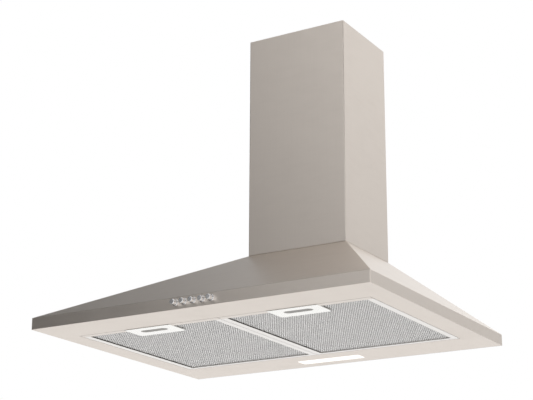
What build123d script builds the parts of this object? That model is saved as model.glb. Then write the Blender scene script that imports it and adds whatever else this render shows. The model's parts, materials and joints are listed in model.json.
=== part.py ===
from build123d import *
import math
import os

# Wall-hung chimney range hood, one solid per piece, millimetres.
#
# X runs to the right, -Y is the front, Y = 0 is the wall and Z runs up.
# While a piece is modelled, Z = 0 is the hood's underside. On export everything
# moves down, so that the origin is the centre of the four wall screws.

# Hood body
HOOD_WIDTH = 600.0
HOOD_DEPTH = 480.0
RIM_HEIGHT = 18.6
CANOPY_HEIGHT = 169.6
SHEET = 0.8
BEND_RADIUS = 1.6
FOLD_RADIUS = 1.4
TOP_FLANGE = 12.0

# Chimney cover and its telescopic extension
CHIMNEY_WIDTH = 190.6
CHIMNEY_DEPTH = 159.2
CHIMNEY_HEIGHT = 403.2
CHIMNEY_FLANGE = 14.0
CHIMNEY_FOOT_GAP = 0.2
EXTENSION_GAP = 1.0
EXTENSION_DROP = 1.0
VENT_COUNT = 6
VENT_LENGTH = 64.0
VENT_HEIGHT = 4.0
VENT_PITCH = 10.0
VENT_BELOW_TOP = 24.0
BRACKET_HEIGHT = 25.0
BRACKET_BELOW_TOP = 14.0
BRACKET_STEP = 12.0
BRACKET_INSET = 17.0
BRACKET_HOLE_SPACING = 100.0
BRACKET_HOLE_RADIUS = 3.0

# Wall fixing
BACK_SHEET = 1.0
BACK_FOOT = 12.0
WALL_HOLE_RADIUS = 4.0
WALL_HOLE_SPACING_X = 260.0
WALL_HOLE_SPACING_Z = 60.0
WALL_HOLE_MIDDLE_Z = 80.0

# Underside panel
PANEL_LIP = 5.0
OPENING_LIP = 12.0
PANEL_FRONT_BAND = 76.0

# Grease filters
FILTER_WIDTH = 260.6
FILTER_HEIGHT = 9.0
FILTER_MIDDLE_GAP = 0.8
FILTER_REAR_Y = -86.5
FILTER_GAP = 1.0
FRAME_SHEET = 0.8
LIP_SIDE = 10.8
LIP_FRONT = 12.0
LIP_REAR = 8.0
FRAME_RETURN = 1.4
MESH_HEIGHT = 6.6
MESH_FIT = 0.3
NET_PITCH = 16.5
NET_STRAND = 3.0
TAB_WIDTH = 20.0
TAB_LENGTH = 5.3
TAB_Z = 3.6
TAB_SPACING = 140.0
TAB_SLOT_TOP = 8.2
TAB_FIT = 0.6

# Filter handle and latch
HANDLE_WIDTH = 86.5
HANDLE_DEPTH = 46.8
HANDLE_SHEET = 0.8
HANDLE_CORNER = 7.0
FINGER_SLOT_LENGTH = 49.0
FINGER_SLOT_WIDTH = 14.0
FINGER_SLOT_FRONT = 14.0
LATCH_BOX_WIDTH = 84.0
LATCH_BOX_HEIGHT = 7.6
LATCH_FIT = 0.2
GRIP_WIDTH = 60.0
GRIP_DEPTH = 19.6
POCKET_INSET = 1.0
POCKET_DEPTH = 2.0
TONGUE_WIDTH = 14.0
TONGUE_THICKNESS = 0.6
TONGUE_Z = 1.5
TONGUE_REACH = 4.5
TONGUE_FIT = 0.4
LATCH_COIL_RADIUS = 2.2
LATCH_WIRE = 0.6
LATCH_TURNS = 6

# Push buttons in the front rim
BUTTON_COUNT = 5
BUTTON_PITCH = 15.9
BUTTON_MIDDLE_X = 6.5
BUTTON_Z = 10.6
BUTTON_RADIUS = 4.0
BUTTON_PROUD = 9.5
BUTTON_REACH = 5.2
LATCHED_BUTTON = 4
LATCHED_DEPTH = 2.0
BUTTON_STEM_RADIUS = 1.9
BUTTON_STEM_LENGTH = 12.0
BUTTON_EDGE = 0.8
RUNNING_FIT = 0.05
BEZEL_BORE_FIT = 0.2
BEZEL_WALL = 0.25
BEZEL_FLANGE = 0.55
BEZEL_PROUD = 1.0
SWITCH_BLOCK_DEPTH = 22.4
SWITCH_BLOCK_HEIGHT = 16.2
SWITCH_BLOCK_END = 9.2
BUTTON_BORE_DEPTH = 12.4
BUTTON_COIL_RADIUS = 2.9
BUTTON_WIRE = 0.5
BUTTON_TURNS = 5
BOARD_THICKNESS = 1.6
CONTROL_BOARD_HEIGHT = 13.0

# Lamp
LAMP_WIDTH = 120.0
LAMP_DEPTH = 28.0
LAMP_MIDDLE_Y = -38.5
LAMP_CORNER = 5.0
LAMP_FIT = 0.3
LENS_FLANGE = 2.0
LENS_FLANGE_THICKNESS = 1.5
LAMP_HOUSING_WALL = 1.2
LAMP_HOUSING_HEIGHT = 15.2
LAMP_BOARD_WIDTH = 112.0
LAMP_BOARD_DEPTH = 20.0
DIODE_COUNT = 12
DIODE_SIZE = 3.0
DIODE_HEIGHT = 0.7
DRIVER_WIDTH = 90.0
DRIVER_DEPTH = 40.0
DRIVER_HEIGHT = 20.0
DRIVER_X = 75.0

# Blower
DECK_SHEET = 1.2
DECK_INSET = 2.0
BLOWER_SHIFT = 40.0
AXIS_Z = 96.0
VOLUTE_STEP = 8.0
TONGUE_X = 2.0
SCROLL_HALF_WIDTH = 54.0
SCROLL_WALL = 2.0
SCROLL_FLANGE = 3.0
INLET_LIP = 4.0
IMPELLER_RADIUS = 52.0
IMPELLER_INNER_RADIUS = 42.0
IMPELLER_GAP = 2.0
IMPELLER_END_GAP = 4.0
IMPELLER_MOUTH_GAP = 1.0
BLADE_COUNT = 32
BLADE_THICKNESS = 1.2
BLADE_ANGLE = 35.0
END_RING = 2.0
DISC_THICKNESS = 2.0
HUB_RADIUS = 9.0
HUB_LENGTH = 16.0
SHAFT_RADIUS = 4.0
SHAFT_PAST_HUB = 4.0
MOTOR_RADIUS = 33.0
MOTOR_HUB_GAP = 2.0
MOTOR_PAST_SCROLL = 6.0
MOTOR_BOSS_RADIUS = 10.0
MOTOR_BOSS = 2.0
SPIDER_THICKNESS = 2.5
SPIDER_RING = 4.0
SPIDER_ARM = 9.0
SPIDER_POST_RADIUS = 4.5
SPIDER_FIT = 0.1

# Duct collar and its two non-return flaps
DUCT_RADIUS = 59.5
COLLAR_WALL = 2.0
COLLAR_HEIGHT = 50.0
COLLAR_FLANGE_MARGIN = 7.5
COLLAR_FLANGE = 2.5
COLLAR_SCREW_INSET = 6.0
COLLAR_SCREW_GAP = 3.1
FLAP_PIN_Z = 39.0
FLAP_PIN_RADIUS = 1.5
FLAP_PIN_OFFSET = 4.0
FLAP_PIN_END = 0.6
FLAP_THICKNESS = 1.5
FLAP_FIT = 0.9
FLAP_BARREL_RADIUS = 2.6
FLAP_BARREL_LENGTH = 100.0
FLAP_STOP = 3.0
FLAP_STOP_HEIGHT = 3.4
FLAP_SEAT_GAP = 0.35

# Electrical pieces on the back panel and the deck
CAPACITOR_RADIUS = 14.0
CAPACITOR_LENGTH = 52.0
CAPACITOR_X = -170.0
CAPACITOR_Z = 30.0
CLIP_WALL = 1.2
CLIP_HEIGHT = 12.0
CLIP_FOOT = 30.0
CLIP_Z = 50.0
TERMINAL_WIDTH = 70.0
TERMINAL_DEPTH = 32.0
TERMINAL_HEIGHT = 40.0
TERMINAL_X = 142.0
TERMINAL_Z = 28.0
TERMINAL_WALL = 2.0
GLAND_X = 76.0
GLAND_Y = -20.0
GLAND_RADIUS = 5.0
GLAND_BORE = 3.75
GLAND_FLANGE = 6.5
GLAND_HEIGHT = 14.0
GLAND_NUT_WIDTH = 13.0
GLAND_NUT_HEIGHT = 4.0

# Screws
SCREW_RADIUS = 1.9
SCREW_HOLE_RADIUS = 2.1
SCREW_HEAD_RADIUS = 3.5
SCREW_HEAD = 2.0
FIT = 0.1
SEAT_GAP = 0.3

# Worked out from the sizes above
CHIMNEY_TOP = CANOPY_HEIGHT + CHIMNEY_HEIGHT
CHIMNEY_FOOT = TOP_FLANGE - SHEET - CHIMNEY_FOOT_GAP
DECK_TOP = CANOPY_HEIGHT - SHEET
DECK_BOTTOM = DECK_TOP - DECK_SHEET
OUTLET_Y = -CHIMNEY_DEPTH / 2
AXIS_Y = OUTLET_Y - BLOWER_SHIFT
FILTER_FRONT_Y = PANEL_FRONT_BAND - HOOD_DEPTH
FILTER_DEPTH = FILTER_REAR_Y - FILTER_FRONT_Y
FILTER_MIDDLE_X = (FILTER_MIDDLE_GAP + FILTER_WIDTH) / 2
OPENING_X = FILTER_MIDDLE_GAP / 2 + FILTER_WIDTH + FILTER_GAP
OPENING_FRONT_Y = FILTER_FRONT_Y - FILTER_GAP
OPENING_REAR_Y = FILTER_REAR_Y + FILTER_GAP
LATCH_BOX_FRONT_Y = FILTER_FRONT_Y + LIP_FRONT + SEAT_GAP
LATCH_BOX_REAR_Y = FILTER_FRONT_Y + HANDLE_DEPTH - FRAME_SHEET
GRIP_FRONT_Y = LATCH_BOX_FRONT_Y + FRAME_SHEET + LATCH_FIT
GRIP_REAR_Y = GRIP_FRONT_Y + GRIP_DEPTH
SLOT_MIDDLE_Y = FILTER_FRONT_Y + FINGER_SLOT_FRONT + FINGER_SLOT_WIDTH / 2
RIM_INSIDE_Y = -HOOD_DEPTH + SHEET
BLOCK_FRONT_Y = RIM_INSIDE_Y + SHEET
BLOCK_REAR_Y = BLOCK_FRONT_Y + SWITCH_BLOCK_DEPTH
VOLUTE_RADIUS = IMPELLER_RADIUS + VOLUTE_STEP / 2 + IMPELLER_GAP
INLET_RADIUS = IMPELLER_INNER_RADIUS + IMPELLER_MOUTH_GAP
IMPELLER_HALF_WIDTH = SCROLL_HALF_WIDTH - SCROLL_WALL - IMPELLER_END_GAP
MOTOR_START = HUB_LENGTH / 2 + MOTOR_HUB_GAP + MOTOR_BOSS
MOTOR_END = SCROLL_HALF_WIDTH + MOTOR_PAST_SCROLL
SHAFT_START = -HUB_LENGTH / 2 - SHAFT_PAST_HUB
SHAFT_END = MOTOR_END + MOTOR_BOSS
SPIDER_SCREW_CIRCLE = INLET_RADIUS + SCROLL_WALL + 2 * SPIDER_POST_RADIUS
COLLAR_FLANGE_WIDTH = 2 * (DUCT_RADIUS + COLLAR_FLANGE_MARGIN)
COLLAR_SPACING_X = COLLAR_FLANGE_WIDTH - 2 * COLLAR_SCREW_INSET
COLLAR_SPACING_Y = CHIMNEY_DEPTH - 2 * (TOP_FLANGE + SCREW_HEAD_RADIUS + COLLAR_SCREW_GAP)
COLLAR_FLANGE_DEPTH = COLLAR_SPACING_Y + 2 * COLLAR_SCREW_INSET
COLLAR_BASE_TOP = DECK_TOP + COLLAR_FLANGE
COLLAR_TOP = COLLAR_BASE_TOP + COLLAR_HEIGHT
COLLAR_BORE = DUCT_RADIUS - COLLAR_WALL
PIN_Z = DECK_TOP + FLAP_PIN_Z
EXTENSION_X = CHIMNEY_WIDTH / 2 - SHEET - EXTENSION_GAP
EXTENSION_FRONT_Y = -CHIMNEY_DEPTH + SHEET + EXTENSION_GAP
EXTENSION_BACK_Y = -SHEET - EXTENSION_GAP
EXTENSION_TOP = CHIMNEY_TOP - EXTENSION_DROP
EXTENSION_BOTTOM = CANOPY_HEIGHT + SHEET + SEAT_GAP
MOTOR_SCREW_ANGLES = (30.0, 150.0, 270.0)


def block(x0, x1, y0, y1, z0, z1):
    """Box between two corners."""
    middle = Pos((x0 + x1) / 2, (y0 + y1) / 2, (z0 + z1) / 2)
    return middle * Box(abs(x1 - x0), abs(y1 - y0), abs(z1 - z0))


def rod_x(radius, x0, x1, y, z):
    return Pos((x0 + x1) / 2, y, z) * Rot(0, 90, 0) * Cylinder(radius, x1 - x0)


def rod_y(radius, x, y0, y1, z):
    return Pos(x, (y0 + y1) / 2, z) * Rot(90, 0, 0) * Cylinder(radius, y1 - y0)


def rod_z(radius, x, y, z0, z1):
    return Pos(x, y, (z0 + z1) / 2) * Cylinder(radius, z1 - z0)


def other_side(shape):
    """The same piece on the left of the hood."""
    return mirror(shape, Plane.YZ)


def coil(radius, wire, length, turns):
    """Compression spring that stands on Z = 0 and fills the length."""
    rise = length - wire
    path = Helix(rise / turns, rise, radius)
    wire_section = Plane(origin=path @ 0, z_dir=path % 0) * Circle(wire / 2)
    return Pos(0, 0, wire / 2) * sweep(wire_section, path, is_frenet=True)


def screw_down(x, y, top, length):
    """Pan-head screw whose head sits on the plane Z = top."""
    head = rod_z(SCREW_HEAD_RADIUS, x, y, top, top + SCREW_HEAD)
    head = fillet(head.edges().group_by(Axis.Z)[-1], SCREW_HEAD * 0.45)
    recess = SCREW_HEAD_RADIUS * 0.9
    cross = block(x - recess / 2, x + recess / 2, y - 0.4, y + 0.4, top + 1, top + SCREW_HEAD + 1)
    cross += block(x - 0.4, x + 0.4, y - recess / 2, y + recess / 2, top + 1, top + SCREW_HEAD + 1)
    return head - cross + rod_z(SCREW_RADIUS, x, y, top - length, top)


# ------------------------------------------------------------- canopy

def canopy_form(inset, below, behind, fold=0.0):
    """Rim and slopes as one solid, drawn from the front and from the side.

    The front view and the side view are each pushed straight through, and
    what they share is the canopy. inset takes a wall off all round, and fold
    is the radius of the bend between the rim and the slopes.
    """
    half = HOOD_WIDTH / 2
    half_top = CHIMNEY_WIDTH / 2
    front_view = Polyline(
        (-half, -below), (half, -below), (half, RIM_HEIGHT), (half_top, CANOPY_HEIGHT),
        (-half_top, CANOPY_HEIGHT), (-half, RIM_HEIGHT), close=True)
    side_view = Polyline(
        (-HOOD_DEPTH, -below), (behind, -below), (behind, CANOPY_HEIGHT),
        (-CHIMNEY_DEPTH, CANOPY_HEIGHT), (-HOOD_DEPTH, RIM_HEIGHT), close=True)
    front_face = make_face(front_view)
    side_face = make_face(side_view)
    if fold:
        front_face, side_face = (
            fillet([v for v in face.vertices() if abs(v.Y - RIM_HEIGHT) < SHEET], fold)
            for face in (front_face, side_face))
    if inset:
        front_face = offset(front_face, -inset, kind=Kind.INTERSECTION)
        side_face = offset(side_face, -inset, kind=Kind.INTERSECTION)
    through_y = extrude(Plane.XZ * front_face, HOOD_DEPTH * 2, both=True)
    through_x = extrude(Plane.YZ * side_face, HOOD_WIDTH, both=True)
    return through_y & through_x


def button_x(index):
    """Middle of push button number index, counted from 1 at the left."""
    return BUTTON_MIDDLE_X + (index - (BUTTON_COUNT + 1) / 2) * BUTTON_PITCH


def chimney_screw_places():
    x = CHIMNEY_WIDTH / 2 - SHEET - CHIMNEY_FOOT / 2
    return [(side * x, -CHIMNEY_DEPTH * share) for side in (-1, 1) for share in (0.3, 0.8)]


def canopy_shell():
    plan = Pos(0, -HOOD_DEPTH / 2) * Rectangle(HOOD_WIDTH, HOOD_DEPTH)
    plan = fillet(plan.vertices().sort_by(Axis.Y)[:2], BEND_RADIUS)
    outside = canopy_form(0, 0, 0, FOLD_RADIUS) & extrude(plan, CANOPY_HEIGHT)
    shell = outside - canopy_form(SHEET, 2 * SHEET, 2 * SHEET)
    inner_x = CHIMNEY_WIDTH / 2 - TOP_FLANGE
    shell -= block(-inner_x, inner_x, -CHIMNEY_DEPTH + TOP_FLANGE, 1,
                   DECK_BOTTOM, CANOPY_HEIGHT + 1)
    hole_radius = BUTTON_RADIUS + BEZEL_BORE_FIT + BEZEL_WALL + RUNNING_FIT
    for index in range(1, BUTTON_COUNT + 1):
        shell -= rod_y(hole_radius, button_x(index), -HOOD_DEPTH - 1, RIM_INSIDE_Y + 1, BUTTON_Z)
    for x, y in chimney_screw_places():
        shell -= rod_z(SCREW_HOLE_RADIUS, x, y, DECK_BOTTOM, CANOPY_HEIGHT + 1)
    return shell


def wall_hole_places():
    return [(sx * WALL_HOLE_SPACING_X / 2, WALL_HOLE_MIDDLE_Z + sz * WALL_HOLE_SPACING_Z / 2)
            for sx in (-1, 1) for sz in (-1, 1)]


def back_panel():
    """Flat sheet against the wall, with a foot that lies on the underside panel."""
    inside = canopy_form(SHEET + FIT, 2 * SHEET, 2 * SHEET)
    plate = inside & block(-HOOD_WIDTH, HOOD_WIDTH, -BACK_SHEET, 0, 0, DECK_TOP)
    foot_x = HOOD_WIDTH / 2 - SHEET - FIT
    plate += block(-foot_x, foot_x, -BACK_FOOT, 0, SHEET, SHEET + BACK_SHEET)
    for x, z in wall_hole_places():
        plate -= rod_y(WALL_HOLE_RADIUS, x, -BACK_SHEET - 1, 1, z)
    return plate


def deck_plate():
    """Plate under the canopy's top flange: it carries the blower and the collar."""
    half = CHIMNEY_WIDTH / 2 - DECK_INSET
    plate = block(-half, half, -CHIMNEY_DEPTH + DECK_INSET, -BACK_SHEET - FIT,
                  DECK_BOTTOM, DECK_TOP)
    plate -= rod_z(COLLAR_BORE, 0, OUTLET_Y, DECK_BOTTOM - 1, DECK_TOP + 1)
    plate -= rod_z(GLAND_RADIUS + FIT, GLAND_X, GLAND_Y, DECK_BOTTOM - 1, DECK_TOP + 1)
    for x, y in collar_screw_places() + chimney_screw_places():
        plate -= rod_z(SCREW_HOLE_RADIUS, x, y, DECK_BOTTOM - 1, DECK_TOP + 1)
    return plate


def underside_panel():
    """Flat panel with a low lip at its edge and a deep lip round the filters."""
    half = HOOD_WIDTH / 2 - SHEET
    panel = block(-half, half, RIM_INSIDE_Y, -BACK_SHEET, 0, SHEET)
    edge = block(-half, half, RIM_INSIDE_Y, -BACK_FOOT, 0, PANEL_LIP)
    edge -= block(-half + SHEET, half - SHEET, BLOCK_FRONT_Y, 0, SHEET, PANEL_LIP + 1)
    panel += edge
    panel += block(-OPENING_X - SHEET, OPENING_X + SHEET, OPENING_FRONT_Y - SHEET,
                   OPENING_REAR_Y + SHEET, 0, OPENING_LIP)
    panel -= block(-OPENING_X, OPENING_X, OPENING_FRONT_Y, OPENING_REAR_Y, -1, OPENING_LIP + 1)
    panel -= lamp_box(0, -1, SHEET + 1)
    for side in (-1, 1):
        x = side * FILTER_MIDDLE_X
        half_tongue = TONGUE_WIDTH / 2 + 2 * TONGUE_FIT
        panel -= block(x - half_tongue, x + half_tongue, OPENING_FRONT_Y - SHEET - 1,
                       OPENING_FRONT_Y, TONGUE_Z - TONGUE_FIT,
                       TONGUE_Z + TONGUE_THICKNESS + TONGUE_FIT)
        for tab_x in (x - TAB_SPACING / 2, x + TAB_SPACING / 2):
            half_tab = TAB_WIDTH / 2 + TAB_FIT
            panel -= block(tab_x - half_tab, tab_x + half_tab, OPENING_REAR_Y,
                           OPENING_REAR_Y + SHEET + 1, TAB_Z - TAB_FIT, TAB_SLOT_TOP)
    return panel


# ------------------------------------------------------------- chimney

def open_back_box(x, front, back, bottom, top, flange):
    """Folded sheet: a front, two sides and a narrow flange behind each side."""
    shell = block(-x, x, front, back, bottom, top)
    front_corners = shell.edges().filter_by(Axis.Z).sort_by(Axis.Y)[:2]
    shell = fillet(front_corners, BEND_RADIUS)
    shell -= block(-x + SHEET, x - SHEET, front + SHEET, back - SHEET, bottom - 1, top + 1)
    shell -= block(-x + flange, x - flange, front + SHEET, back + 1, bottom - 1, top + 1)
    return shell


def chimney_cover():
    half = CHIMNEY_WIDTH / 2
    cover = open_back_box(half, -CHIMNEY_DEPTH, 0, CANOPY_HEIGHT, CHIMNEY_TOP, CHIMNEY_FLANGE)
    foot = block(-half + SHEET, half - SHEET, -CHIMNEY_DEPTH + SHEET, -SHEET,
                 CANOPY_HEIGHT, CANOPY_HEIGHT + SHEET)
    inner_x = half - SHEET - CHIMNEY_FOOT
    foot -= block(-inner_x, inner_x, -CHIMNEY_DEPTH + SHEET + CHIMNEY_FOOT, 1,
                  CANOPY_HEIGHT - 1, CANOPY_HEIGHT + SHEET + 1)
    for x, y in chimney_screw_places():
        foot -= rod_z(SCREW_HOLE_RADIUS, x, y, CANOPY_HEIGHT - 1, CANOPY_HEIGHT + SHEET + 1)
    cover += foot
    bent_x, bent_y = half - BEND_RADIUS / 2, BEND_RADIUS / 2 - CHIMNEY_DEPTH
    outer_foot_edges = cover.edges().group_by(Axis.Z)[0].filter_by(
        lambda edge: abs(edge.center().X) > bent_x or edge.center().Y < bent_y)
    return fillet(outer_foot_edges, FOLD_RADIUS)


def chimney_extension():
    """Inner section, pushed right down: it slides up to meet the ceiling."""
    section = open_back_box(EXTENSION_X, EXTENSION_FRONT_Y, EXTENSION_BACK_Y,
                            EXTENSION_BOTTOM, EXTENSION_TOP, CHIMNEY_FLANGE)
    middle_y = (EXTENSION_FRONT_Y + EXTENSION_BACK_Y) / 2
    for row in range(VENT_COUNT):
        z = EXTENSION_TOP - VENT_BELOW_TOP - row * VENT_PITCH
        vent = SlotOverall(VENT_LENGTH, VENT_HEIGHT)
        section -= Pos(0, middle_y, z) * Rot(90, 0, 90) * extrude(
            vent, EXTENSION_X + 1, both=True)
    return section


def chimney_bracket():
    """Hat-shaped strip: its middle goes on the wall, its ends hold the extension."""
    top = EXTENSION_TOP - BRACKET_BELOW_TOP
    bottom = top - BRACKET_HEIGHT
    inside = EXTENSION_X - SHEET
    step_x = EXTENSION_X - BRACKET_INSET
    strip = block(-step_x, step_x, -BACK_SHEET, 0, bottom, top)
    for side in (-1, 1):
        strip += block(side * step_x, side * (step_x - BACK_SHEET), -BRACKET_STEP, 0, bottom, top)
        strip += block(side * (step_x - BACK_SHEET), side * inside,
                       -BRACKET_STEP - BACK_SHEET, -BRACKET_STEP, bottom, top)
        strip += block(side * (inside - BACK_SHEET), side * inside,
                       -BRACKET_STEP - BACK_SHEET, EXTENSION_BACK_Y - SHEET - SEAT_GAP,
                       bottom, top)
        strip -= rod_y(BRACKET_HOLE_RADIUS, side * BRACKET_HOLE_SPACING / 2,
                       -BACK_SHEET - 1, 1, (bottom + top) / 2)
    return strip


def chimney_screws():
    return [screw_down(x, y, CANOPY_HEIGHT + SHEET, 3 * SHEET + DECK_SHEET)
            for x, y in chimney_screw_places()]


# ------------------------------------------------------------- filters

def filter_box(inset, z0, z1):
    """Box over the right filter's outline, taken in by inset."""
    left = FILTER_MIDDLE_GAP / 2
    return block(left + inset, left + FILTER_WIDTH - inset, FILTER_FRONT_Y + inset,
                 FILTER_REAR_Y - inset, z0, z1)


def filter_window(grow, z0, z1):
    """Box over the window that the frame leaves for the mesh."""
    left = FILTER_MIDDLE_GAP / 2
    return block(left + LIP_SIDE - grow, left + FILTER_WIDTH - LIP_SIDE + grow,
                 FILTER_FRONT_Y + LIP_FRONT - grow, FILTER_REAR_Y - LIP_REAR + grow, z0, z1)


def tongue_slot(y0, y1):
    half = TONGUE_WIDTH / 2 + TONGUE_FIT
    return block(FILTER_MIDDLE_X - half, FILTER_MIDDLE_X + half, y0, y1,
                 TONGUE_Z - TONGUE_FIT, TONGUE_Z + TONGUE_THICKNESS + TONGUE_FIT)


def filter_frame():
    """Channel frame: a low return wall round the window keeps the mesh up."""
    frame = filter_box(0, 0, FILTER_HEIGHT)
    frame -= filter_box(FRAME_SHEET, FRAME_RETURN, FILTER_HEIGHT - FRAME_SHEET)
    channel = filter_box(FRAME_SHEET, FRAME_SHEET, FRAME_RETURN + 0.5)
    frame -= channel - filter_window(FRAME_SHEET, 0, FILTER_HEIGHT)
    frame -= filter_window(0, -1, FILTER_HEIGHT + 1)
    frame -= tongue_slot(FILTER_FRONT_Y - 1, FILTER_FRONT_Y + LIP_FRONT + 1)
    for side in (-1, 1):
        x = FILTER_MIDDLE_X + side * TAB_SPACING / 2
        frame += block(x - TAB_WIDTH / 2, x + TAB_WIDTH / 2, FILTER_REAR_Y,
                       FILTER_REAR_Y + TAB_LENGTH, TAB_Z, TAB_Z + FRAME_SHEET)
    return frame


def filter_mesh():
    """Flat net of hexagonal gaps that lies on the frame's return wall."""
    width = FILTER_WIDTH - 2 * (FRAME_SHEET + MESH_FIT)
    depth = FILTER_DEPTH - 2 * (FRAME_SHEET + MESH_FIT)
    columns = int((FILTER_WIDTH - 2 * LIP_SIDE) / NET_PITCH)
    row_pitch = NET_PITCH * math.sqrt(3) / 2
    rows = int((FILTER_DEPTH - LIP_FRONT - LIP_REAR) / row_pitch)
    net = Rectangle(width, depth)
    gap = RegularPolygon((NET_PITCH - NET_STRAND) / 2, 6, major_radius=False, rotation=30)
    window_y = (LIP_FRONT - LIP_REAR) / 2
    places = []
    for row in range(rows):
        shift = NET_PITCH / 2 * (row % 2)
        y = window_y + (row - (rows - 1) / 2) * row_pitch
        for column in range(columns - row % 2):
            places.append((shift + (column - (columns - 1) / 2) * NET_PITCH, y))
    notch_rear = HANDLE_DEPTH - FILTER_DEPTH / 2 + FRAME_SHEET
    half_notch = HANDLE_WIDTH / 2 + FRAME_SHEET
    clear_y = notch_rear + NET_PITCH / 2 + NET_STRAND / 2
    clear_x = half_notch + NET_PITCH / 2 + NET_STRAND / 2
    kept = [(x, y) for x, y in places if y > clear_y or abs(x) > clear_x]
    net -= Sketch() + [Pos(x, y) * gap for x, y in kept]
    net -= Pos(0, (notch_rear - FILTER_DEPTH) / 2) * Rectangle(
        2 * half_notch, notch_rear + FILTER_DEPTH)
    middle_y = (FILTER_FRONT_Y + FILTER_REAR_Y) / 2
    plate = extrude(net, MESH_HEIGHT)
    return Pos(FILTER_MIDDLE_X, middle_y, FRAME_RETURN) * plate


def handle_plate():
    """Thin plate under the frame's front lip, with the oblong finger hole."""
    outline = Rectangle(HANDLE_WIDTH, HANDLE_DEPTH)
    outline = fillet(outline.vertices().sort_by(Axis.Y)[2:], HANDLE_CORNER)
    hole = SlotOverall(FINGER_SLOT_LENGTH, FINGER_SLOT_WIDTH)
    middle_y = FILTER_FRONT_Y + HANDLE_DEPTH / 2
    outline -= Pos(0, SLOT_MIDDLE_Y - middle_y) * hole
    plate = Pos(FILTER_MIDDLE_X, middle_y, -HANDLE_SHEET) * extrude(outline, HANDLE_SHEET)
    lower_edges = plate.edges().group_by(Axis.Z)[0]
    return chamfer(lower_edges, HANDLE_SHEET / 3)


def latch_box():
    """Tray turned over on the handle plate: it guides the grip."""
    half = LATCH_BOX_WIDTH / 2
    tray = block(FILTER_MIDDLE_X - half, FILTER_MIDDLE_X + half, LATCH_BOX_FRONT_Y,
                 LATCH_BOX_REAR_Y, 0, LATCH_BOX_HEIGHT)
    tray -= block(FILTER_MIDDLE_X - half + FRAME_SHEET, FILTER_MIDDLE_X + half - FRAME_SHEET,
                  LATCH_BOX_FRONT_Y + FRAME_SHEET, LATCH_BOX_REAR_Y - FRAME_SHEET,
                  -1, LATCH_BOX_HEIGHT - FRAME_SHEET)
    return tray - tongue_slot(LATCH_BOX_FRONT_Y - 1, LATCH_BOX_FRONT_Y + FRAME_SHEET + 1)


def latch_grip():
    """Sliding grip with a finger pocket behind the handle plate's hole."""
    top = LATCH_BOX_HEIGHT - FRAME_SHEET - LATCH_FIT
    grip = block(FILTER_MIDDLE_X - GRIP_WIDTH / 2, FILTER_MIDDLE_X + GRIP_WIDTH / 2,
                 GRIP_FRONT_Y, GRIP_REAR_Y, LATCH_FIT, top)
    pocket = SlotOverall(FINGER_SLOT_LENGTH - 2 * POCKET_INSET,
                         FINGER_SLOT_WIDTH - 2 * POCKET_INSET)
    pocket = extrude(pocket, LATCH_FIT + POCKET_DEPTH + 1)
    return grip - Pos(FILTER_MIDDLE_X, SLOT_MIDDLE_Y, -1) * pocket


def latch_tongue():
    """Spring-steel strip that reaches through the frame into the panel's lip."""
    return block(FILTER_MIDDLE_X - TONGUE_WIDTH / 2, FILTER_MIDDLE_X + TONGUE_WIDTH / 2,
                 FILTER_FRONT_Y - TONGUE_REACH, GRIP_FRONT_Y, TONGUE_Z,
                 TONGUE_Z + TONGUE_THICKNESS)


def latch_spring():
    space = LATCH_BOX_REAR_Y - FRAME_SHEET - GRIP_REAR_Y
    spring = coil(LATCH_COIL_RADIUS, LATCH_WIRE, space - 2 * FIT, LATCH_TURNS)
    middle_z = (LATCH_FIT + LATCH_BOX_HEIGHT - FRAME_SHEET) / 2
    return Pos(FILTER_MIDDLE_X, GRIP_REAR_Y + FIT, middle_z) * Rot(-90, 0, 0) * spring


# ------------------------------------------------------------- buttons

def button(index):
    """Round cap on a thinner stem. One of the five stands latched in."""
    front = -HOOD_DEPTH - BUTTON_PROUD
    if index == LATCHED_BUTTON:
        front += LATCHED_DEPTH
    shoulder = front + BUTTON_PROUD + BUTTON_REACH
    cap = rod_y(BUTTON_RADIUS, button_x(index), front, shoulder, BUTTON_Z)
    cap = fillet(cap.edges().group_by(Axis.Y)[0], BUTTON_EDGE)
    stem = rod_y(BUTTON_STEM_RADIUS, button_x(index), shoulder, shoulder + BUTTON_STEM_LENGTH,
                 BUTTON_Z)
    return cap + stem


def button_bezels():
    """Ring round each button: a sleeve in the rim's hole and a flange on its face."""
    bore = BUTTON_RADIUS + BEZEL_BORE_FIT
    sleeve = bore + BEZEL_WALL
    rings = []
    for index in range(1, BUTTON_COUNT + 1):
        x = button_x(index)
        ring = rod_y(sleeve, x, -HOOD_DEPTH, RIM_INSIDE_Y, BUTTON_Z)
        flange = rod_y(sleeve + BEZEL_FLANGE, x, -HOOD_DEPTH - BEZEL_PROUD, -HOOD_DEPTH, BUTTON_Z)
        ring += fillet(flange.edges().group_by(Axis.Y)[0], BEZEL_PROUD / 3)
        rings.append(ring - rod_y(bore, x, -HOOD_DEPTH - 2 * BEZEL_PROUD, RIM_INSIDE_Y + 1,
                                  BUTTON_Z))
    return rings


def block_ends():
    """Left and right end of the switch block."""
    return button_x(1) - SWITCH_BLOCK_END, button_x(BUTTON_COUNT) + SWITCH_BLOCK_END


def switch_block():
    left, right = block_ends()
    body = block(left, right, BLOCK_FRONT_Y, BLOCK_REAR_Y, SHEET, SHEET + SWITCH_BLOCK_HEIGHT)
    for index in range(1, BUTTON_COUNT + 1):
        x = button_x(index)
        body -= rod_y(BUTTON_RADIUS + RUNNING_FIT, x, BLOCK_FRONT_Y - 1,
                      BLOCK_FRONT_Y + BUTTON_BORE_DEPTH, BUTTON_Z)
        body -= rod_y(BUTTON_STEM_RADIUS + RUNNING_FIT, x, BLOCK_FRONT_Y, BLOCK_REAR_Y + 1,
                      BUTTON_Z)
    return body


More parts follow.
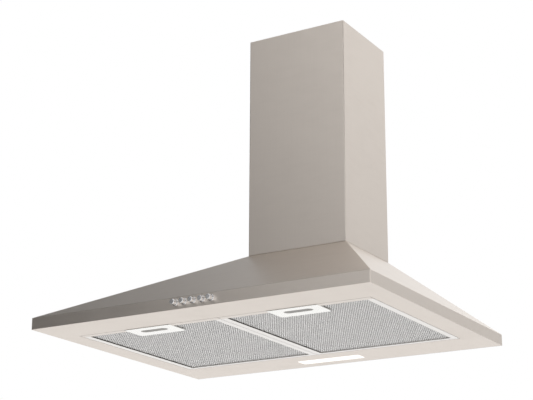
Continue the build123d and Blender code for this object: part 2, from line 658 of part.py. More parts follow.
def button_spring(index):
    """Coil round the stem, between the cap's shoulder and the end of its bore."""
    shoulder = -HOOD_DEPTH + BUTTON_REACH
    if index == LATCHED_BUTTON:
        shoulder += LATCHED_DEPTH
    space = BLOCK_FRONT_Y + BUTTON_BORE_DEPTH - shoulder
    spring = coil(BUTTON_COIL_RADIUS, BUTTON_WIRE, space - 2 * FIT, BUTTON_TURNS)
    return Pos(button_x(index), shoulder + FIT, BUTTON_Z) * Rot(-90, 0, 0) * spring


def control_board():
    left, right = block_ends()
    z0 = SHEET + (SWITCH_BLOCK_HEIGHT - CONTROL_BOARD_HEIGHT) / 2
    return block(left + 1, right - 1, BLOCK_REAR_Y, BLOCK_REAR_Y + BOARD_THICKNESS,
                 z0, z0 + CONTROL_BOARD_HEIGHT)


# ------------------------------------------------------------- lamp

def lamp_box(grow, z0, z1):
    """Round-cornered block over the lamp opening, grown by grow on each side."""
    box = block(-LAMP_WIDTH / 2 - grow, LAMP_WIDTH / 2 + grow,
                LAMP_MIDDLE_Y - LAMP_DEPTH / 2 - grow, LAMP_MIDDLE_Y + LAMP_DEPTH / 2 + grow,
                z0, z1)
    return fillet(box.edges().filter_by(Axis.Z), LAMP_CORNER + grow)


def lamp_lens():
    lens = lamp_box(-LAMP_FIT, 0, SHEET)
    return lens + lamp_box(LENS_FLANGE, SHEET, SHEET + LENS_FLANGE_THICKNESS)


def lamp_housing():
    """Tray turned over on the underside panel, round the lens flange."""
    inside = LENS_FLANGE + FIT
    tray = lamp_box(inside + LAMP_HOUSING_WALL, SHEET, SHEET + LAMP_HOUSING_HEIGHT)
    return tray - lamp_box(inside, SHEET - 1, SHEET + LAMP_HOUSING_HEIGHT - LAMP_HOUSING_WALL)


def lamp_board_z():
    return SHEET + LAMP_HOUSING_HEIGHT - LAMP_HOUSING_WALL - BOARD_THICKNESS


def lamp_board():
    return block(-LAMP_BOARD_WIDTH / 2, LAMP_BOARD_WIDTH / 2,
                 LAMP_MIDDLE_Y - LAMP_BOARD_DEPTH / 2, LAMP_MIDDLE_Y + LAMP_BOARD_DEPTH / 2,
                 lamp_board_z(), lamp_board_z() + BOARD_THICKNESS)


def lamp_diodes():
    pitch = LAMP_BOARD_WIDTH / DIODE_COUNT
    half = DIODE_SIZE / 2
    diodes = []
    for index in range(DIODE_COUNT):
        x = (index - (DIODE_COUNT - 1) / 2) * pitch
        diodes.append(block(x - half, x + half, LAMP_MIDDLE_Y - half, LAMP_MIDDLE_Y + half,
                            lamp_board_z() - DIODE_HEIGHT, lamp_board_z()))
    return diodes


def lamp_driver():
    box = block(DRIVER_X, DRIVER_X + DRIVER_WIDTH, LAMP_MIDDLE_Y - DRIVER_DEPTH / 2,
                LAMP_MIDDLE_Y + DRIVER_DEPTH / 2, SHEET, SHEET + DRIVER_HEIGHT)
    return fillet(box.edges().filter_by(Axis.Z), 2)


# ------------------------------------------------------------- blower

def volute_face():
    """Inside of the scroll as seen along the shaft: three quarter arcs and the outlet."""
    half_step = VOLUTE_STEP / 2
    radii = [VOLUTE_RADIUS + turn * VOLUTE_STEP for turn in range(3)]
    centres = [(-half_step, -half_step), (half_step, -half_step), (half_step, half_step)]
    arcs = [CenterArc(centre, radius, 90 * (turn + 1), 90)
            for turn, (centre, radius) in enumerate(zip(centres, radii))]
    rear = half_step + radii[2]
    top = DECK_TOP - AXIS_Z
    crown = VOLUTE_RADIUS - half_step
    outlet = Polyline((rear, half_step), (rear, top), (TONGUE_X, top), (TONGUE_X, crown),
                      (-half_step, crown))
    return make_face(Curve() + arcs + outlet)


def collar_screw_places():
    return [(sx * COLLAR_SPACING_X / 2, OUTLET_Y + sy * COLLAR_SPACING_Y / 2)
            for sx in (-1, 1) for sy in (-1, 1)]


def motor_screw_places():
    return [(AXIS_Y + SPIDER_SCREW_CIRCLE * math.cos(math.radians(angle)),
             AXIS_Z + SPIDER_SCREW_CIRCLE * math.sin(math.radians(angle)))
            for angle in MOTOR_SCREW_ANGLES]


def scroll_right():
    """Half of the scroll housing, from the middle plane to the motor's side."""
    plane = Plane(origin=(0, AXIS_Y, AXIS_Z), x_dir=(0, 1, 0), z_dir=(1, 0, 0))
    inside = plane * volute_face()
    outside = plane * offset(volute_face(), SCROLL_WALL)
    half = extrude(outside, SCROLL_HALF_WIDTH)
    half += block(0, COLLAR_FLANGE_WIDTH / 2, OUTLET_Y - COLLAR_FLANGE_DEPTH / 2,
                  OUTLET_Y + COLLAR_FLANGE_DEPTH / 2, DECK_BOTTOM - SCROLL_FLANGE, DECK_BOTTOM)
    half -= block(-1, SCROLL_HALF_WIDTH + 1, AXIS_Y - HOOD_DEPTH, AXIS_Y + HOOD_DEPTH,
                  DECK_BOTTOM, CANOPY_HEIGHT + 10)
    half += rod_x(INLET_RADIUS + SCROLL_WALL, SCROLL_HALF_WIDTH, SCROLL_HALF_WIDTH + INLET_LIP,
                  AXIS_Y, AXIS_Z)
    half -= extrude(inside, SCROLL_HALF_WIDTH - SCROLL_WALL)
    half -= rod_x(INLET_RADIUS, 0, SCROLL_HALF_WIDTH + INLET_LIP + 1, AXIS_Y, AXIS_Z)
    for x, y in collar_screw_places():
        half -= rod_z(SCREW_HOLE_RADIUS, x, y, DECK_BOTTOM - SCROLL_FLANGE - 1, DECK_TOP)
    for y, z in motor_screw_places():
        half -= rod_x(SCREW_HOLE_RADIUS, SCROLL_HALF_WIDTH - SCROLL_WALL - 1,
                      SCROLL_HALF_WIDTH + 1, y, z)
    return half


def impeller():
    """Double-width squirrel cage on a middle disc."""
    rim = IMPELLER_RADIUS - 0.5
    wheel = rod_x(rim, -DISC_THICKNESS / 2, DISC_THICKNESS / 2, 0, 0)
    wheel += rod_x(HUB_RADIUS, -HUB_LENGTH / 2, HUB_LENGTH / 2, 0, 0)
    for side in (-1, 1):
        x0, x1 = sorted((side * IMPELLER_HALF_WIDTH, side * (IMPELLER_HALF_WIDTH - END_RING)))
        ring = rod_x(IMPELLER_RADIUS, x0, x1, 0, 0)
        wheel += ring - rod_x(IMPELLER_INNER_RADIUS, x0 - 1, x1 + 1, 0, 0)
    depth = IMPELLER_RADIUS - IMPELLER_INNER_RADIUS
    middle = (IMPELLER_RADIUS + IMPELLER_INNER_RADIUS) / 2
    blade = Box(2 * IMPELLER_HALF_WIDTH - END_RING, depth, BLADE_THICKNESS)
    blade = Pos(0, middle, 0) * Rot(BLADE_ANGLE, 0, 0) * blade
    wheel += [Rot(index * 360 / BLADE_COUNT, 0, 0) * blade for index in range(BLADE_COUNT)]
    wheel -= rod_x(SHAFT_RADIUS, -HUB_LENGTH, HUB_LENGTH, 0, 0)
    return Pos(0, AXIS_Y, AXIS_Z) * wheel


def motor_shaft():
    return rod_x(SHAFT_RADIUS, SHAFT_START, SHAFT_END, AXIS_Y, AXIS_Z)


def motor():
    body = rod_x(MOTOR_RADIUS, MOTOR_START, MOTOR_END, AXIS_Y, AXIS_Z)
    body = fillet(body.edges().filter_by(GeomType.CIRCLE), 2)
    body += rod_x(MOTOR_BOSS_RADIUS, MOTOR_START - MOTOR_BOSS, MOTOR_END + MOTOR_BOSS,
                  AXIS_Y, AXIS_Z)
    return body - rod_x(SHAFT_RADIUS + RUNNING_FIT, MOTOR_START - MOTOR_BOSS - 1,
                        MOTOR_END + MOTOR_BOSS + 1, AXIS_Y, AXIS_Z)


def spider_x():
    """Inner and outer face of the motor bracket's arms."""
    start = SCROLL_HALF_WIDTH + INLET_LIP + FIT
    return start, start + SPIDER_THICKNESS


def motor_bracket():
    """Three-armed spider that holds the motor in the right inlet."""
    start, end = spider_x()
    ring_radius = MOTOR_RADIUS + SPIDER_FIT + SPIDER_RING
    spider = rod_x(ring_radius, SCROLL_HALF_WIDTH - SPIDER_RING, end, 0, 0)
    for angle in MOTOR_SCREW_ANGLES:
        arm = block(start, end, 0, SPIDER_SCREW_CIRCLE, -SPIDER_ARM / 2, SPIDER_ARM / 2)
        arm += rod_x(SPIDER_POST_RADIUS, SCROLL_HALF_WIDTH, end, SPIDER_SCREW_CIRCLE, 0)
        arm -= rod_x(SCREW_HOLE_RADIUS, SCROLL_HALF_WIDTH - 1, end + 1, SPIDER_SCREW_CIRCLE, 0)
        spider += Rot(angle, 0, 0) * arm
    spider -= rod_x(MOTOR_RADIUS + SPIDER_FIT, 0, end + 1, 0, 0)
    return Pos(0, AXIS_Y, AXIS_Z) * spider


def motor_screws():
    end = spider_x()[1]
    start = SCROLL_HALF_WIDTH - SCROLL_WALL
    screws = []
    for y, z in motor_screw_places():
        screw = screw_down(0, 0, 0, end - start)
        screws.append(Pos(end, y, z) * Rot(0, 90, 0) * screw)
    return screws


# ------------------------------------------------------------- duct collar

def outlet_collar():
    half_x, half_y = COLLAR_FLANGE_WIDTH / 2, COLLAR_FLANGE_DEPTH / 2
    collar = block(-half_x, half_x, OUTLET_Y - half_y, OUTLET_Y + half_y, DECK_TOP,
                   COLLAR_BASE_TOP)
    collar += rod_z(DUCT_RADIUS, 0, OUTLET_Y, DECK_TOP, COLLAR_TOP)
    stop_top = PIN_Z - FLAP_THICKNESS / 2 - FLAP_SEAT_GAP
    bore = rod_z(COLLAR_BORE, 0, OUTLET_Y, DECK_TOP - 1, COLLAR_TOP + 1)
    stop = rod_z(COLLAR_BORE, 0, OUTLET_Y, stop_top - FLAP_STOP_HEIGHT, stop_top)
    stop -= rod_z(COLLAR_BORE - FLAP_STOP, 0, OUTLET_Y, DECK_TOP, COLLAR_TOP)
    collar -= bore - stop
    for side in (-1, 1):
        collar -= rod_x(FLAP_PIN_RADIUS + FIT, -DUCT_RADIUS - 1, DUCT_RADIUS + 1,
                        OUTLET_Y + side * FLAP_PIN_OFFSET, PIN_Z)
    for x, y in collar_screw_places():
        collar -= rod_z(SCREW_HOLE_RADIUS, x, y, DECK_TOP - 1, COLLAR_BASE_TOP + 1)
    return collar


def flap_pins():
    half = DUCT_RADIUS - FLAP_PIN_END
    return [rod_x(FLAP_PIN_RADIUS, -half, half, OUTLET_Y + side * FLAP_PIN_OFFSET, PIN_Z)
            for side in (-1, 1)]


def rear_flap():
    """Half disc with a barrel round its pin. It lies on the collar's stop ring."""
    leaf = Pos(0, OUTLET_Y, PIN_Z) * Cylinder(COLLAR_BORE - FLAP_FIT, FLAP_THICKNESS)
    leaf &= block(-DUCT_RADIUS, DUCT_RADIUS, OUTLET_Y + FLAP_PIN_OFFSET, OUTLET_Y + DUCT_RADIUS,
                  PIN_Z - FLAP_THICKNESS, PIN_Z + FLAP_THICKNESS)
    pin_y = OUTLET_Y + FLAP_PIN_OFFSET
    half = FLAP_BARREL_LENGTH / 2
    leaf -= block(-DUCT_RADIUS, DUCT_RADIUS, pin_y - 1, pin_y + FLAP_BARREL_RADIUS,
                  PIN_Z - FLAP_THICKNESS, PIN_Z + FLAP_THICKNESS)
    leaf += block(-half, half, pin_y, pin_y + 2 * FLAP_BARREL_RADIUS,
                  PIN_Z - FLAP_THICKNESS / 2, PIN_Z + FLAP_THICKNESS / 2)
    leaf += rod_x(FLAP_BARREL_RADIUS, -half, half, pin_y, PIN_Z)
    return leaf - rod_x(FLAP_PIN_RADIUS + RUNNING_FIT, -DUCT_RADIUS, DUCT_RADIUS, pin_y, PIN_Z)


def front_flap():
    return mirror(rear_flap(), Plane.XZ.offset(-OUTLET_Y))


def collar_screws():
    length = COLLAR_FLANGE + DECK_SHEET + SCROLL_FLANGE + SCREW_HEAD
    return [screw_down(x, y, COLLAR_BASE_TOP, length) for x, y in collar_screw_places()]


# ------------------------------------------------------------- electrical

def clip_middle_y():
    return -BACK_SHEET - CAPACITOR_RADIUS - FIT - CLIP_WALL


def capacitor():
    can = rod_z(CAPACITOR_RADIUS, CAPACITOR_X, clip_middle_y(), CAPACITOR_Z,
                CAPACITOR_Z + CAPACITOR_LENGTH)
    return fillet(can.edges().filter_by(GeomType.CIRCLE), 1.5)


def capacitor_clip():
    outer = CAPACITOR_RADIUS + FIT + CLIP_WALL
    clip = rod_z(outer, CAPACITOR_X, clip_middle_y(), CLIP_Z, CLIP_Z + CLIP_HEIGHT)
    clip += block(CAPACITOR_X - CLIP_FOOT, CAPACITOR_X, -BACK_SHEET - CLIP_WALL, -BACK_SHEET,
                  CLIP_Z, CLIP_Z + CLIP_HEIGHT)
    return clip - rod_z(CAPACITOR_RADIUS + FIT, CAPACITOR_X, clip_middle_y(), CLIP_Z - 1,
                        CLIP_Z + CLIP_HEIGHT + 1)


def terminal_box():
    x1 = TERMINAL_X + TERMINAL_WIDTH
    z1 = TERMINAL_Z + TERMINAL_HEIGHT
    front = -BACK_SHEET - TERMINAL_DEPTH
    box = block(TERMINAL_X, x1, front, -BACK_SHEET, TERMINAL_Z, z1)
    return box - block(TERMINAL_X + TERMINAL_WALL, x1 - TERMINAL_WALL, front - 1,
                       -BACK_SHEET - TERMINAL_WALL, TERMINAL_Z + TERMINAL_WALL,
                       z1 - TERMINAL_WALL)


def terminal_lid():
    front = -BACK_SHEET - TERMINAL_DEPTH
    lid = block(TERMINAL_X, TERMINAL_X + TERMINAL_WIDTH, front - TERMINAL_WALL, front,
                TERMINAL_Z, TERMINAL_Z + TERMINAL_HEIGHT)
    return fillet(lid.edges().group_by(Axis.Y)[0], TERMINAL_WALL / 2)


def mains_gland():
    """Cable gland that stands on the deck beside the duct collar."""
    gland = rod_z(GLAND_RADIUS, GLAND_X, GLAND_Y, DECK_BOTTOM - GLAND_NUT_HEIGHT - 1,
                  DECK_TOP + GLAND_HEIGHT)
    gland += rod_z(GLAND_FLANGE, GLAND_X, GLAND_Y, DECK_TOP, DECK_TOP + GLAND_HEIGHT / 4)
    return gland - rod_z(GLAND_BORE, GLAND_X, GLAND_Y, DECK_BOTTOM - GLAND_NUT_HEIGHT - 2,
                         DECK_TOP + GLAND_HEIGHT + 1)


def gland_nut():
    nut = extrude(RegularPolygon(GLAND_NUT_WIDTH / 2, 6, major_radius=False), GLAND_NUT_HEIGHT)
    nut = Pos(GLAND_X, GLAND_Y, DECK_BOTTOM - GLAND_NUT_HEIGHT) * nut
    return nut - rod_z(GLAND_RADIUS + RUNNING_FIT, GLAND_X, GLAND_Y,
                       DECK_BOTTOM - GLAND_NUT_HEIGHT - 1, DECK_BOTTOM + 1)


# ------------------------------------------------------------- export

def all_pieces():
    pieces = {
        "canopy_shell": canopy_shell(),
        "back_panel": back_panel(),
        "deck_plate": deck_plate(),
        "underside_panel": underside_panel(),
        "chimney_cover": chimney_cover(),
        "chimney_extension": chimney_extension(),
        "chimney_bracket": chimney_bracket(),
        "chimney_screws": chimney_screws(),
        "button_bezels": button_bezels(),
        "switch_block": switch_block(),
        "control_board": control_board(),
        "lamp_lens": lamp_lens(),
        "lamp_housing": lamp_housing(),
        "lamp_board": lamp_board(),
        "lamp_diodes": lamp_diodes(),
        "lamp_driver": lamp_driver(),
        "scroll_right": scroll_right(),
        "scroll_left": other_side(scroll_right()),
        "impeller": impeller(),
        "motor_shaft": motor_shaft(),
        "motor": motor(),
        "motor_bracket": motor_bracket(),
        "motor_screws": motor_screws(),
        "outlet_collar": outlet_collar(),
        "flap_pins": flap_pins(),
        "rear_flap": rear_flap(),
        "front_flap": front_flap(),
        "collar_screws": collar_screws(),
        "capacitor": capacitor(),
        "capacitor_clip": capacitor_clip(),
        "terminal_box": terminal_box(),
        "terminal_lid": terminal_lid(),
        "mains_gland": mains_gland(),
        "gland_nut": gland_nut(),
    }
    for index in range(1, BUTTON_COUNT + 1):
        pieces[f"button_{index}"] = button(index)
        pieces[f"button_spring_{index}"] = button_spring(index)
    filter_pieces = (filter_frame, filter_mesh, handle_plate, latch_box, latch_grip,
                     latch_tongue, latch_spring)
    for make in filter_pieces:
        right = make()
        pieces[f"{make.__name__}_right"] = right
        pieces[f"{make.__name__}_left"] = other_side(right)
    return pieces


def export_all():
    os.makedirs("parts", exist_ok=True)
    to_origin = Pos(0, 0, -WALL_HOLE_MIDDLE_Z)
    for name, piece in all_pieces().items():
        shape = Compound(piece) if isinstance(piece, list) else piece
        export_step(to_origin * shape, f"parts/{name}.step")


export_all()
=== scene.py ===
import json
import math
import random

import bmesh
import bpy
from mathutils import Matrix, Vector


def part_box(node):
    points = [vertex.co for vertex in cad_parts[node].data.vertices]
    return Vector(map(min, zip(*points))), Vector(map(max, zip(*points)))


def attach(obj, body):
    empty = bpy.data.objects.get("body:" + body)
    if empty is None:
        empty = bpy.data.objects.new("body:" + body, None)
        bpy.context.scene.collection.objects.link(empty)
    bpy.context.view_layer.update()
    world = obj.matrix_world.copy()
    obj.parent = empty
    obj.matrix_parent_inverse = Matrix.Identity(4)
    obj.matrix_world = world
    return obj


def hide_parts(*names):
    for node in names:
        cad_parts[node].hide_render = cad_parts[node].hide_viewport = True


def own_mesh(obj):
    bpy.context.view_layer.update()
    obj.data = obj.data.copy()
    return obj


# Chimney range hood, dressed for a product picture. Metres, in the frame of the
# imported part: X to the right, -Y to the front, Z up, Y = 0 on the wall, and Z = 0
# 80 mm above the hood's underside.

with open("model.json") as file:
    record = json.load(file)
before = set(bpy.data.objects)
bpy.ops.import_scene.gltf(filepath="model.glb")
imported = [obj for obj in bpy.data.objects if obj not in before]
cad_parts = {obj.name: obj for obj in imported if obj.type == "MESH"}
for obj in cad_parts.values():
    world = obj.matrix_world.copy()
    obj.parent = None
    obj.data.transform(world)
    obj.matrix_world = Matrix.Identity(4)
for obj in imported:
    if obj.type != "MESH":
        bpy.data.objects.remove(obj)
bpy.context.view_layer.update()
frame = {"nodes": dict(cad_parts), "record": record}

MM = 0.001

# Grease filters: facing nets, and the knitted pad between them
HOLE_PITCH = 3.94 * MM
HOLE_RADIUS = 1.55 * MM
NET_THICKNESS = 0.5 * MM
NET_HELD = 2.0 * MM
LIP_SIDE = 10.8 * MM
LIP_FRONT = 12.0 * MM
LIP_REAR = 8.0 * MM
LATCH_CLEARANCE = 0.3 * MM
PAD_CELL = 4.0 * MM
PAD_PUFF = 0.35 * MM
PAD_PUFF_SHARE = 0.9
PAD_SEED = 7

# Painted shade on the wall round the net of the filter frame, standing in for the recess's shadow,
# counted up from its lower face
PAINTED_SHADE_START = 0.05 * MM
PAINTED_SHADE_FULL = 0.35 * MM
RECESS_TOP = 1.4 * MM
WALL_SLACK = 0.1 * MM

# Height of the relief that the bump nodes give
SHEET_RELIEF = 0.0004
GRAIN_RELIEF = 0.0002
TRACK_RELIEF = 0.0001

# Colours of the finishes
STEEL = (0.74, 0.675, 0.615)
PANEL_STEEL = (0.78, 0.715, 0.655)
ZINC = (0.60, 0.62, 0.64)
CHROME = (0.86, 0.86, 0.87)

# Strength of the glow of the lens and its diodes
LAMP_GLOW = 0.5


# ------------------------------------------------------------- shader groups

def new_group(name, inputs, outputs):
    """Shader node group with named sockets. inputs holds (name, type, default)."""
    group = bpy.data.node_groups.new(name, "ShaderNodeTree")
    for label, kind, default in inputs:
        socket = group.interface.new_socket(label, in_out="INPUT", socket_type=kind)
        socket.default_value = default
    for label, kind in outputs:
        group.interface.new_socket(label, in_out="OUTPUT", socket_type=kind)
    return group, group.nodes.new("NodeGroupInput"), group.nodes.new("NodeGroupOutput")


class Wiring:
    """Short ways to add and join the nodes of one shader tree."""

    def __init__(self, tree):
        self.tree = tree

    def add(self, kind, **settings):
        node = self.tree.nodes.new(kind)
        for name, value in settings.items():
            setattr(node, name, value)
        return node

    def join(self, source, target):
        self.tree.links.new(source, target)

    def feed(self, value, socket):
        """Joins a socket, or sets a plain value."""
        if isinstance(value, bpy.types.NodeSocket):
            self.join(value, socket)
        else:
            socket.default_value = value

    def math(self, operation, a, b=0.0, clamp=False):
        node = self.add("ShaderNodeMath", operation=operation, use_clamp=clamp)
        self.feed(a, node.inputs[0])
        self.feed(b, node.inputs[1])
        return node.outputs[0]

    def scaled(self, vector, scale):
        node = self.add("ShaderNodeVectorMath", operation="MULTIPLY")
        self.feed(vector, node.inputs[0])
        self.feed(scale, node.inputs[1])
        return node.outputs[0]

    def noise(self, vector, scale, detail=2.0, roughness=0.5):
        node = self.add("ShaderNodeTexNoise")
        self.feed(vector, node.inputs["Vector"])
        self.feed(scale, node.inputs["Scale"])
        node.inputs["Detail"].default_value = detail
        node.inputs["Roughness"].default_value = roughness
        return node.outputs["Fac"]

    def spread(self, value, low, high, to_low=0.0, to_high=1.0):
        """Stretches a range of values to another, and holds the ends."""
        node = self.add("ShaderNodeMapRange")
        for name, number in (("Value", value), ("From Min", low), ("From Max", high),
                             ("To Min", to_low), ("To Max", to_high)):
            self.feed(number, node.inputs[name])
        return node.outputs[0]

    def blend(self, share, a, b):
        """Mixes two colours."""
        node = self.add("ShaderNodeMix", data_type="RGBA")
        self.feed(share, node.inputs[0])
        self.feed(a, node.inputs[6])
        self.feed(b, node.inputs[7])
        return node.outputs[2]

    def shaded(self, colour, level):
        """Multiplies a colour by a grey level that changes over the surface."""
        grey = self.add("ShaderNodeCombineColor")
        for socket in grey.inputs[:3]:
            self.feed(level, socket)
        node = self.add("ShaderNodeMix", data_type="RGBA", blend_type="MULTIPLY")
        node.inputs[0].default_value = 1.0
        self.feed(colour, node.inputs[6])
        self.join(grey.outputs[0], node.inputs[7])
        return node.outputs[2]


def brushing_group():
    """Fine parallel lines of a brushed sheet: a height and a level near 1.

    Upright is 1 for a sheet brushed up and down. Otherwise the lines run
    level: along X, and along Y on faces that look to the side.
    """
    group, given, out = new_group(
        "brushing",
        [("Upright", "NodeSocketFloat", 0.0), ("Contrast", "NodeSocketFloat", 1.0)],
        [("Height", "NodeSocketFloat"), ("Level", "NodeSocketFloat")])
    w = Wiring(group)
    place = w.add("ShaderNodeTexCoord").outputs["Object"]
    normal = w.add("ShaderNodeSeparateXYZ")
    w.join(w.add("ShaderNodeNewGeometry").outputs["Normal"], normal.inputs[0])
    sideways = w.math("GREATER_THAN", w.math("ABSOLUTE", normal.outputs[0]), 0.5)

    def along(low, high):
        """Place stretched so that noise becomes lines."""
        level = w.add("ShaderNodeMix", data_type="VECTOR")
        w.join(sideways, level.inputs[0])
        w.join(w.scaled(place, (low, high, high)), level.inputs[4])
        w.join(w.scaled(place, (high, low, high)), level.inputs[5])
        either = w.add("ShaderNodeMix", data_type="VECTOR")
        w.join(given.outputs["Upright"], either.inputs[0])
        w.join(level.outputs[1], either.inputs[4])
        w.join(w.scaled(place, (high, high, low)), either.inputs[5])
        return either.outputs[1]

    fine = w.noise(along(30.0, 2600.0), 1.0, 2.0, 0.6)
    broad = w.noise(along(5.0, 420.0), 1.0, 3.0, 0.6)
    both = w.math("ADD", w.math("MULTIPLY", fine, 0.55), w.math("MULTIPLY", broad, 0.45))
    w.join(both, out.inputs["Height"])
    swing = w.math("MULTIPLY", w.math("SUBTRACT", both, 0.5), given.outputs["Contrast"])
    w.join(w.math("ADD", swing, 1.0), out.inputs["Level"])
    return group


def handling_group():
    """Faint smears and clouding left by wiping and by hands: 0 is clean."""
    group, given, out = new_group(
        "handling", [("Scale", "NodeSocketFloat", 9.0)], [("Smear", "NodeSocketFloat")])
    w = Wiring(group)
    place = w.add("ShaderNodeTexCoord").outputs["Object"]
    cloud = w.noise(place, given.outputs["Scale"], 4.0, 0.55)
    wipe = w.noise(w.scaled(place, (3.0, 3.0, 11.0)), given.outputs["Scale"], 3.0, 0.5)
    w.join(w.spread(w.math("MULTIPLY", cloud, wipe), 0.2, 0.42), out.inputs["Smear"])
    return group


def grain_group():
    """Fine even grain of moulded, cast or painted surfaces."""
    group, given, out = new_group(
        "grain", [("Scale", "NodeSocketFloat", 1500.0)],
        [("Height", "NodeSocketFloat"), ("Level", "NodeSocketFloat")])
    w = Wiring(group)
    place = w.add("ShaderNodeTexCoord").outputs["Object"]
    fine = w.noise(place, given.outputs["Scale"], 2.0, 0.6)
    patches = w.noise(place, 60.0, 3.0, 0.5)
    w.join(fine, out.inputs["Height"])
    w.join(w.spread(patches, 0.3, 0.7, 0.94, 1.04), out.inputs["Level"])
    return group


def edge_wear_group():
    """Bright rubbed edges: 1 on a worn edge."""
    group, given, out = new_group(
        "edge_wear", [("Amount", "NodeSocketFloat", 1.0)], [("Mask", "NodeSocketFloat")])
    w = Wiring(group)
    place = w.add("ShaderNodeTexCoord").outputs["Object"]
    pointed = w.spread(w.add("ShaderNodeNewGeometry").outputs["Pointiness"], 0.52, 0.6)
    broken = w.spread(w.noise(place, 240.0, 3.0, 0.6), 0.4, 0.65)
    w.join(w.math("MULTIPLY", w.math("MULTIPLY", pointed, broken), given.outputs["Amount"]),
           out.inputs["Mask"])
    return group


BRUSHING = brushing_group()
HANDLING = handling_group()
GRAIN = grain_group()
EDGE_WEAR = edge_wear_group()


# ------------------------------------------------------------- finishes

def new_finish(name):
    """Empty material with its Principled shader: (material, wiring, shader)."""
    material = bpy.data.materials.new(name)
    material.use_nodes = True
    shader = material.node_tree.nodes["Principled BSDF"]
    return material, Wiring(material.node_tree), shader


def use_group(w, group, **values):
    """Adds a shader group and sets its named inputs."""
    node = w.add("ShaderNodeGroup", node_tree=group)
    for name, value in values.items():
        node.inputs[name].default_value = value
    return node


def raise_bumps(w, shader, height, strength, distance):
    """Joins a height to the shader's normal."""
    bump = w.add("ShaderNodeBump")
    bump.inputs["Strength"].default_value = strength
    bump.inputs["Distance"].default_value = distance
    w.join(height, bump.inputs["Height"])
    w.join(bump.outputs[0], shader.inputs["Normal"])


def brushed_metal(name, colour, roughness, upright=0.0, contrast=0.10, bump=0.04):
    """Brushed sheet metal with faint smears."""
    material, w, shader = new_finish(name)
    shader.inputs["Metallic"].default_value = 1.0
    lines = use_group(w, BRUSHING, Upright=upright, Contrast=contrast)
    smear = use_group(w, HANDLING).outputs["Smear"]
    level = w.math("MULTIPLY", lines.outputs["Level"], w.spread(smear, 0.0, 1.0, 1.0, 0.985))
    w.join(w.shaded((*colour, 1.0), level), shader.inputs["Base Color"])
    rough = w.math("ADD", w.spread(lines.outputs["Height"], 0.3, 0.7, -0.03, 0.03),
                   w.spread(smear, 0.0, 1.0, roughness, roughness + 0.03))
    w.join(rough, shader.inputs["Roughness"])
    raise_bumps(w, shader, lines.outputs["Height"], bump, SHEET_RELIEF)
    return material


def galvanised(name, colour=ZINC):
    """Zinc-coated sheet with its frosted crystals."""
    material, w, shader = new_finish(name)
    shader.inputs["Metallic"].default_value = 1.0
    place = w.add("ShaderNodeTexCoord").outputs["Object"]
    crystals = w.add("ShaderNodeTexVoronoi")
    w.join(place, crystals.inputs["Vector"])
    crystals.inputs["Scale"].default_value = 110.0
    tone = w.add("ShaderNodeSeparateColor")
    w.join(crystals.outputs["Color"], tone.inputs[0])
    w.join(w.shaded((*colour, 1.0), w.spread(tone.outputs[0], 0.0, 1.0, 0.82, 1.12)),
           shader.inputs["Base Color"])
    w.join(w.spread(tone.outputs[1], 0.0, 1.0, 0.32, 0.52), shader.inputs["Roughness"])
    raise_bumps(w, shader, w.noise(place, 900.0, 2.0), 0.05, SHEET_RELIEF)
    return material


def plain_metal(name, colour, roughness, grain=1400.0, wear=0.0):
    """Rolled, turned or plated metal with a very fine grain."""
    material, w, shader = new_finish(name)
    shader.inputs["Metallic"].default_value = 1.0
    skin = use_group(w, GRAIN, Scale=grain)
    edge = use_group(w, EDGE_WEAR, Amount=wear).outputs["Mask"]
    level = w.math("ADD", skin.outputs["Level"], w.math("MULTIPLY", edge, 0.2))
    w.join(w.shaded((*colour, 1.0), level), shader.inputs["Base Color"])
    w.join(w.spread(skin.outputs["Height"], 0.3, 0.7, roughness - 0.03, roughness + 0.03),
           shader.inputs["Roughness"])
    raise_bumps(w, shader, skin.outputs["Height"], 0.03, GRAIN_RELIEF)
    return material


def moulded(name, colour, roughness, grain=1300.0, bump=0.15):
    """Moulded plastic with a fine grain and slightly paler rubbed edges."""
    material, w, shader = new_finish(name)
    skin = use_group(w, GRAIN, Scale=grain)
    edge = use_group(w, EDGE_WEAR, Amount=0.5).outputs["Mask"]
    tone = w.shaded((*colour, 1.0), skin.outputs["Level"])
    paler = tuple(min(1.0, c * 0.7 + 0.2) for c in colour)
    w.join(w.blend(edge, tone, (*paler, 1.0)), shader.inputs["Base Color"])
    w.join(w.spread(skin.outputs["Height"], 0.3, 0.7, roughness - 0.05, roughness + 0.05),
           shader.inputs["Roughness"])
    raise_bumps(w, shader, skin.outputs["Height"], bump, GRAIN_RELIEF)
    return material


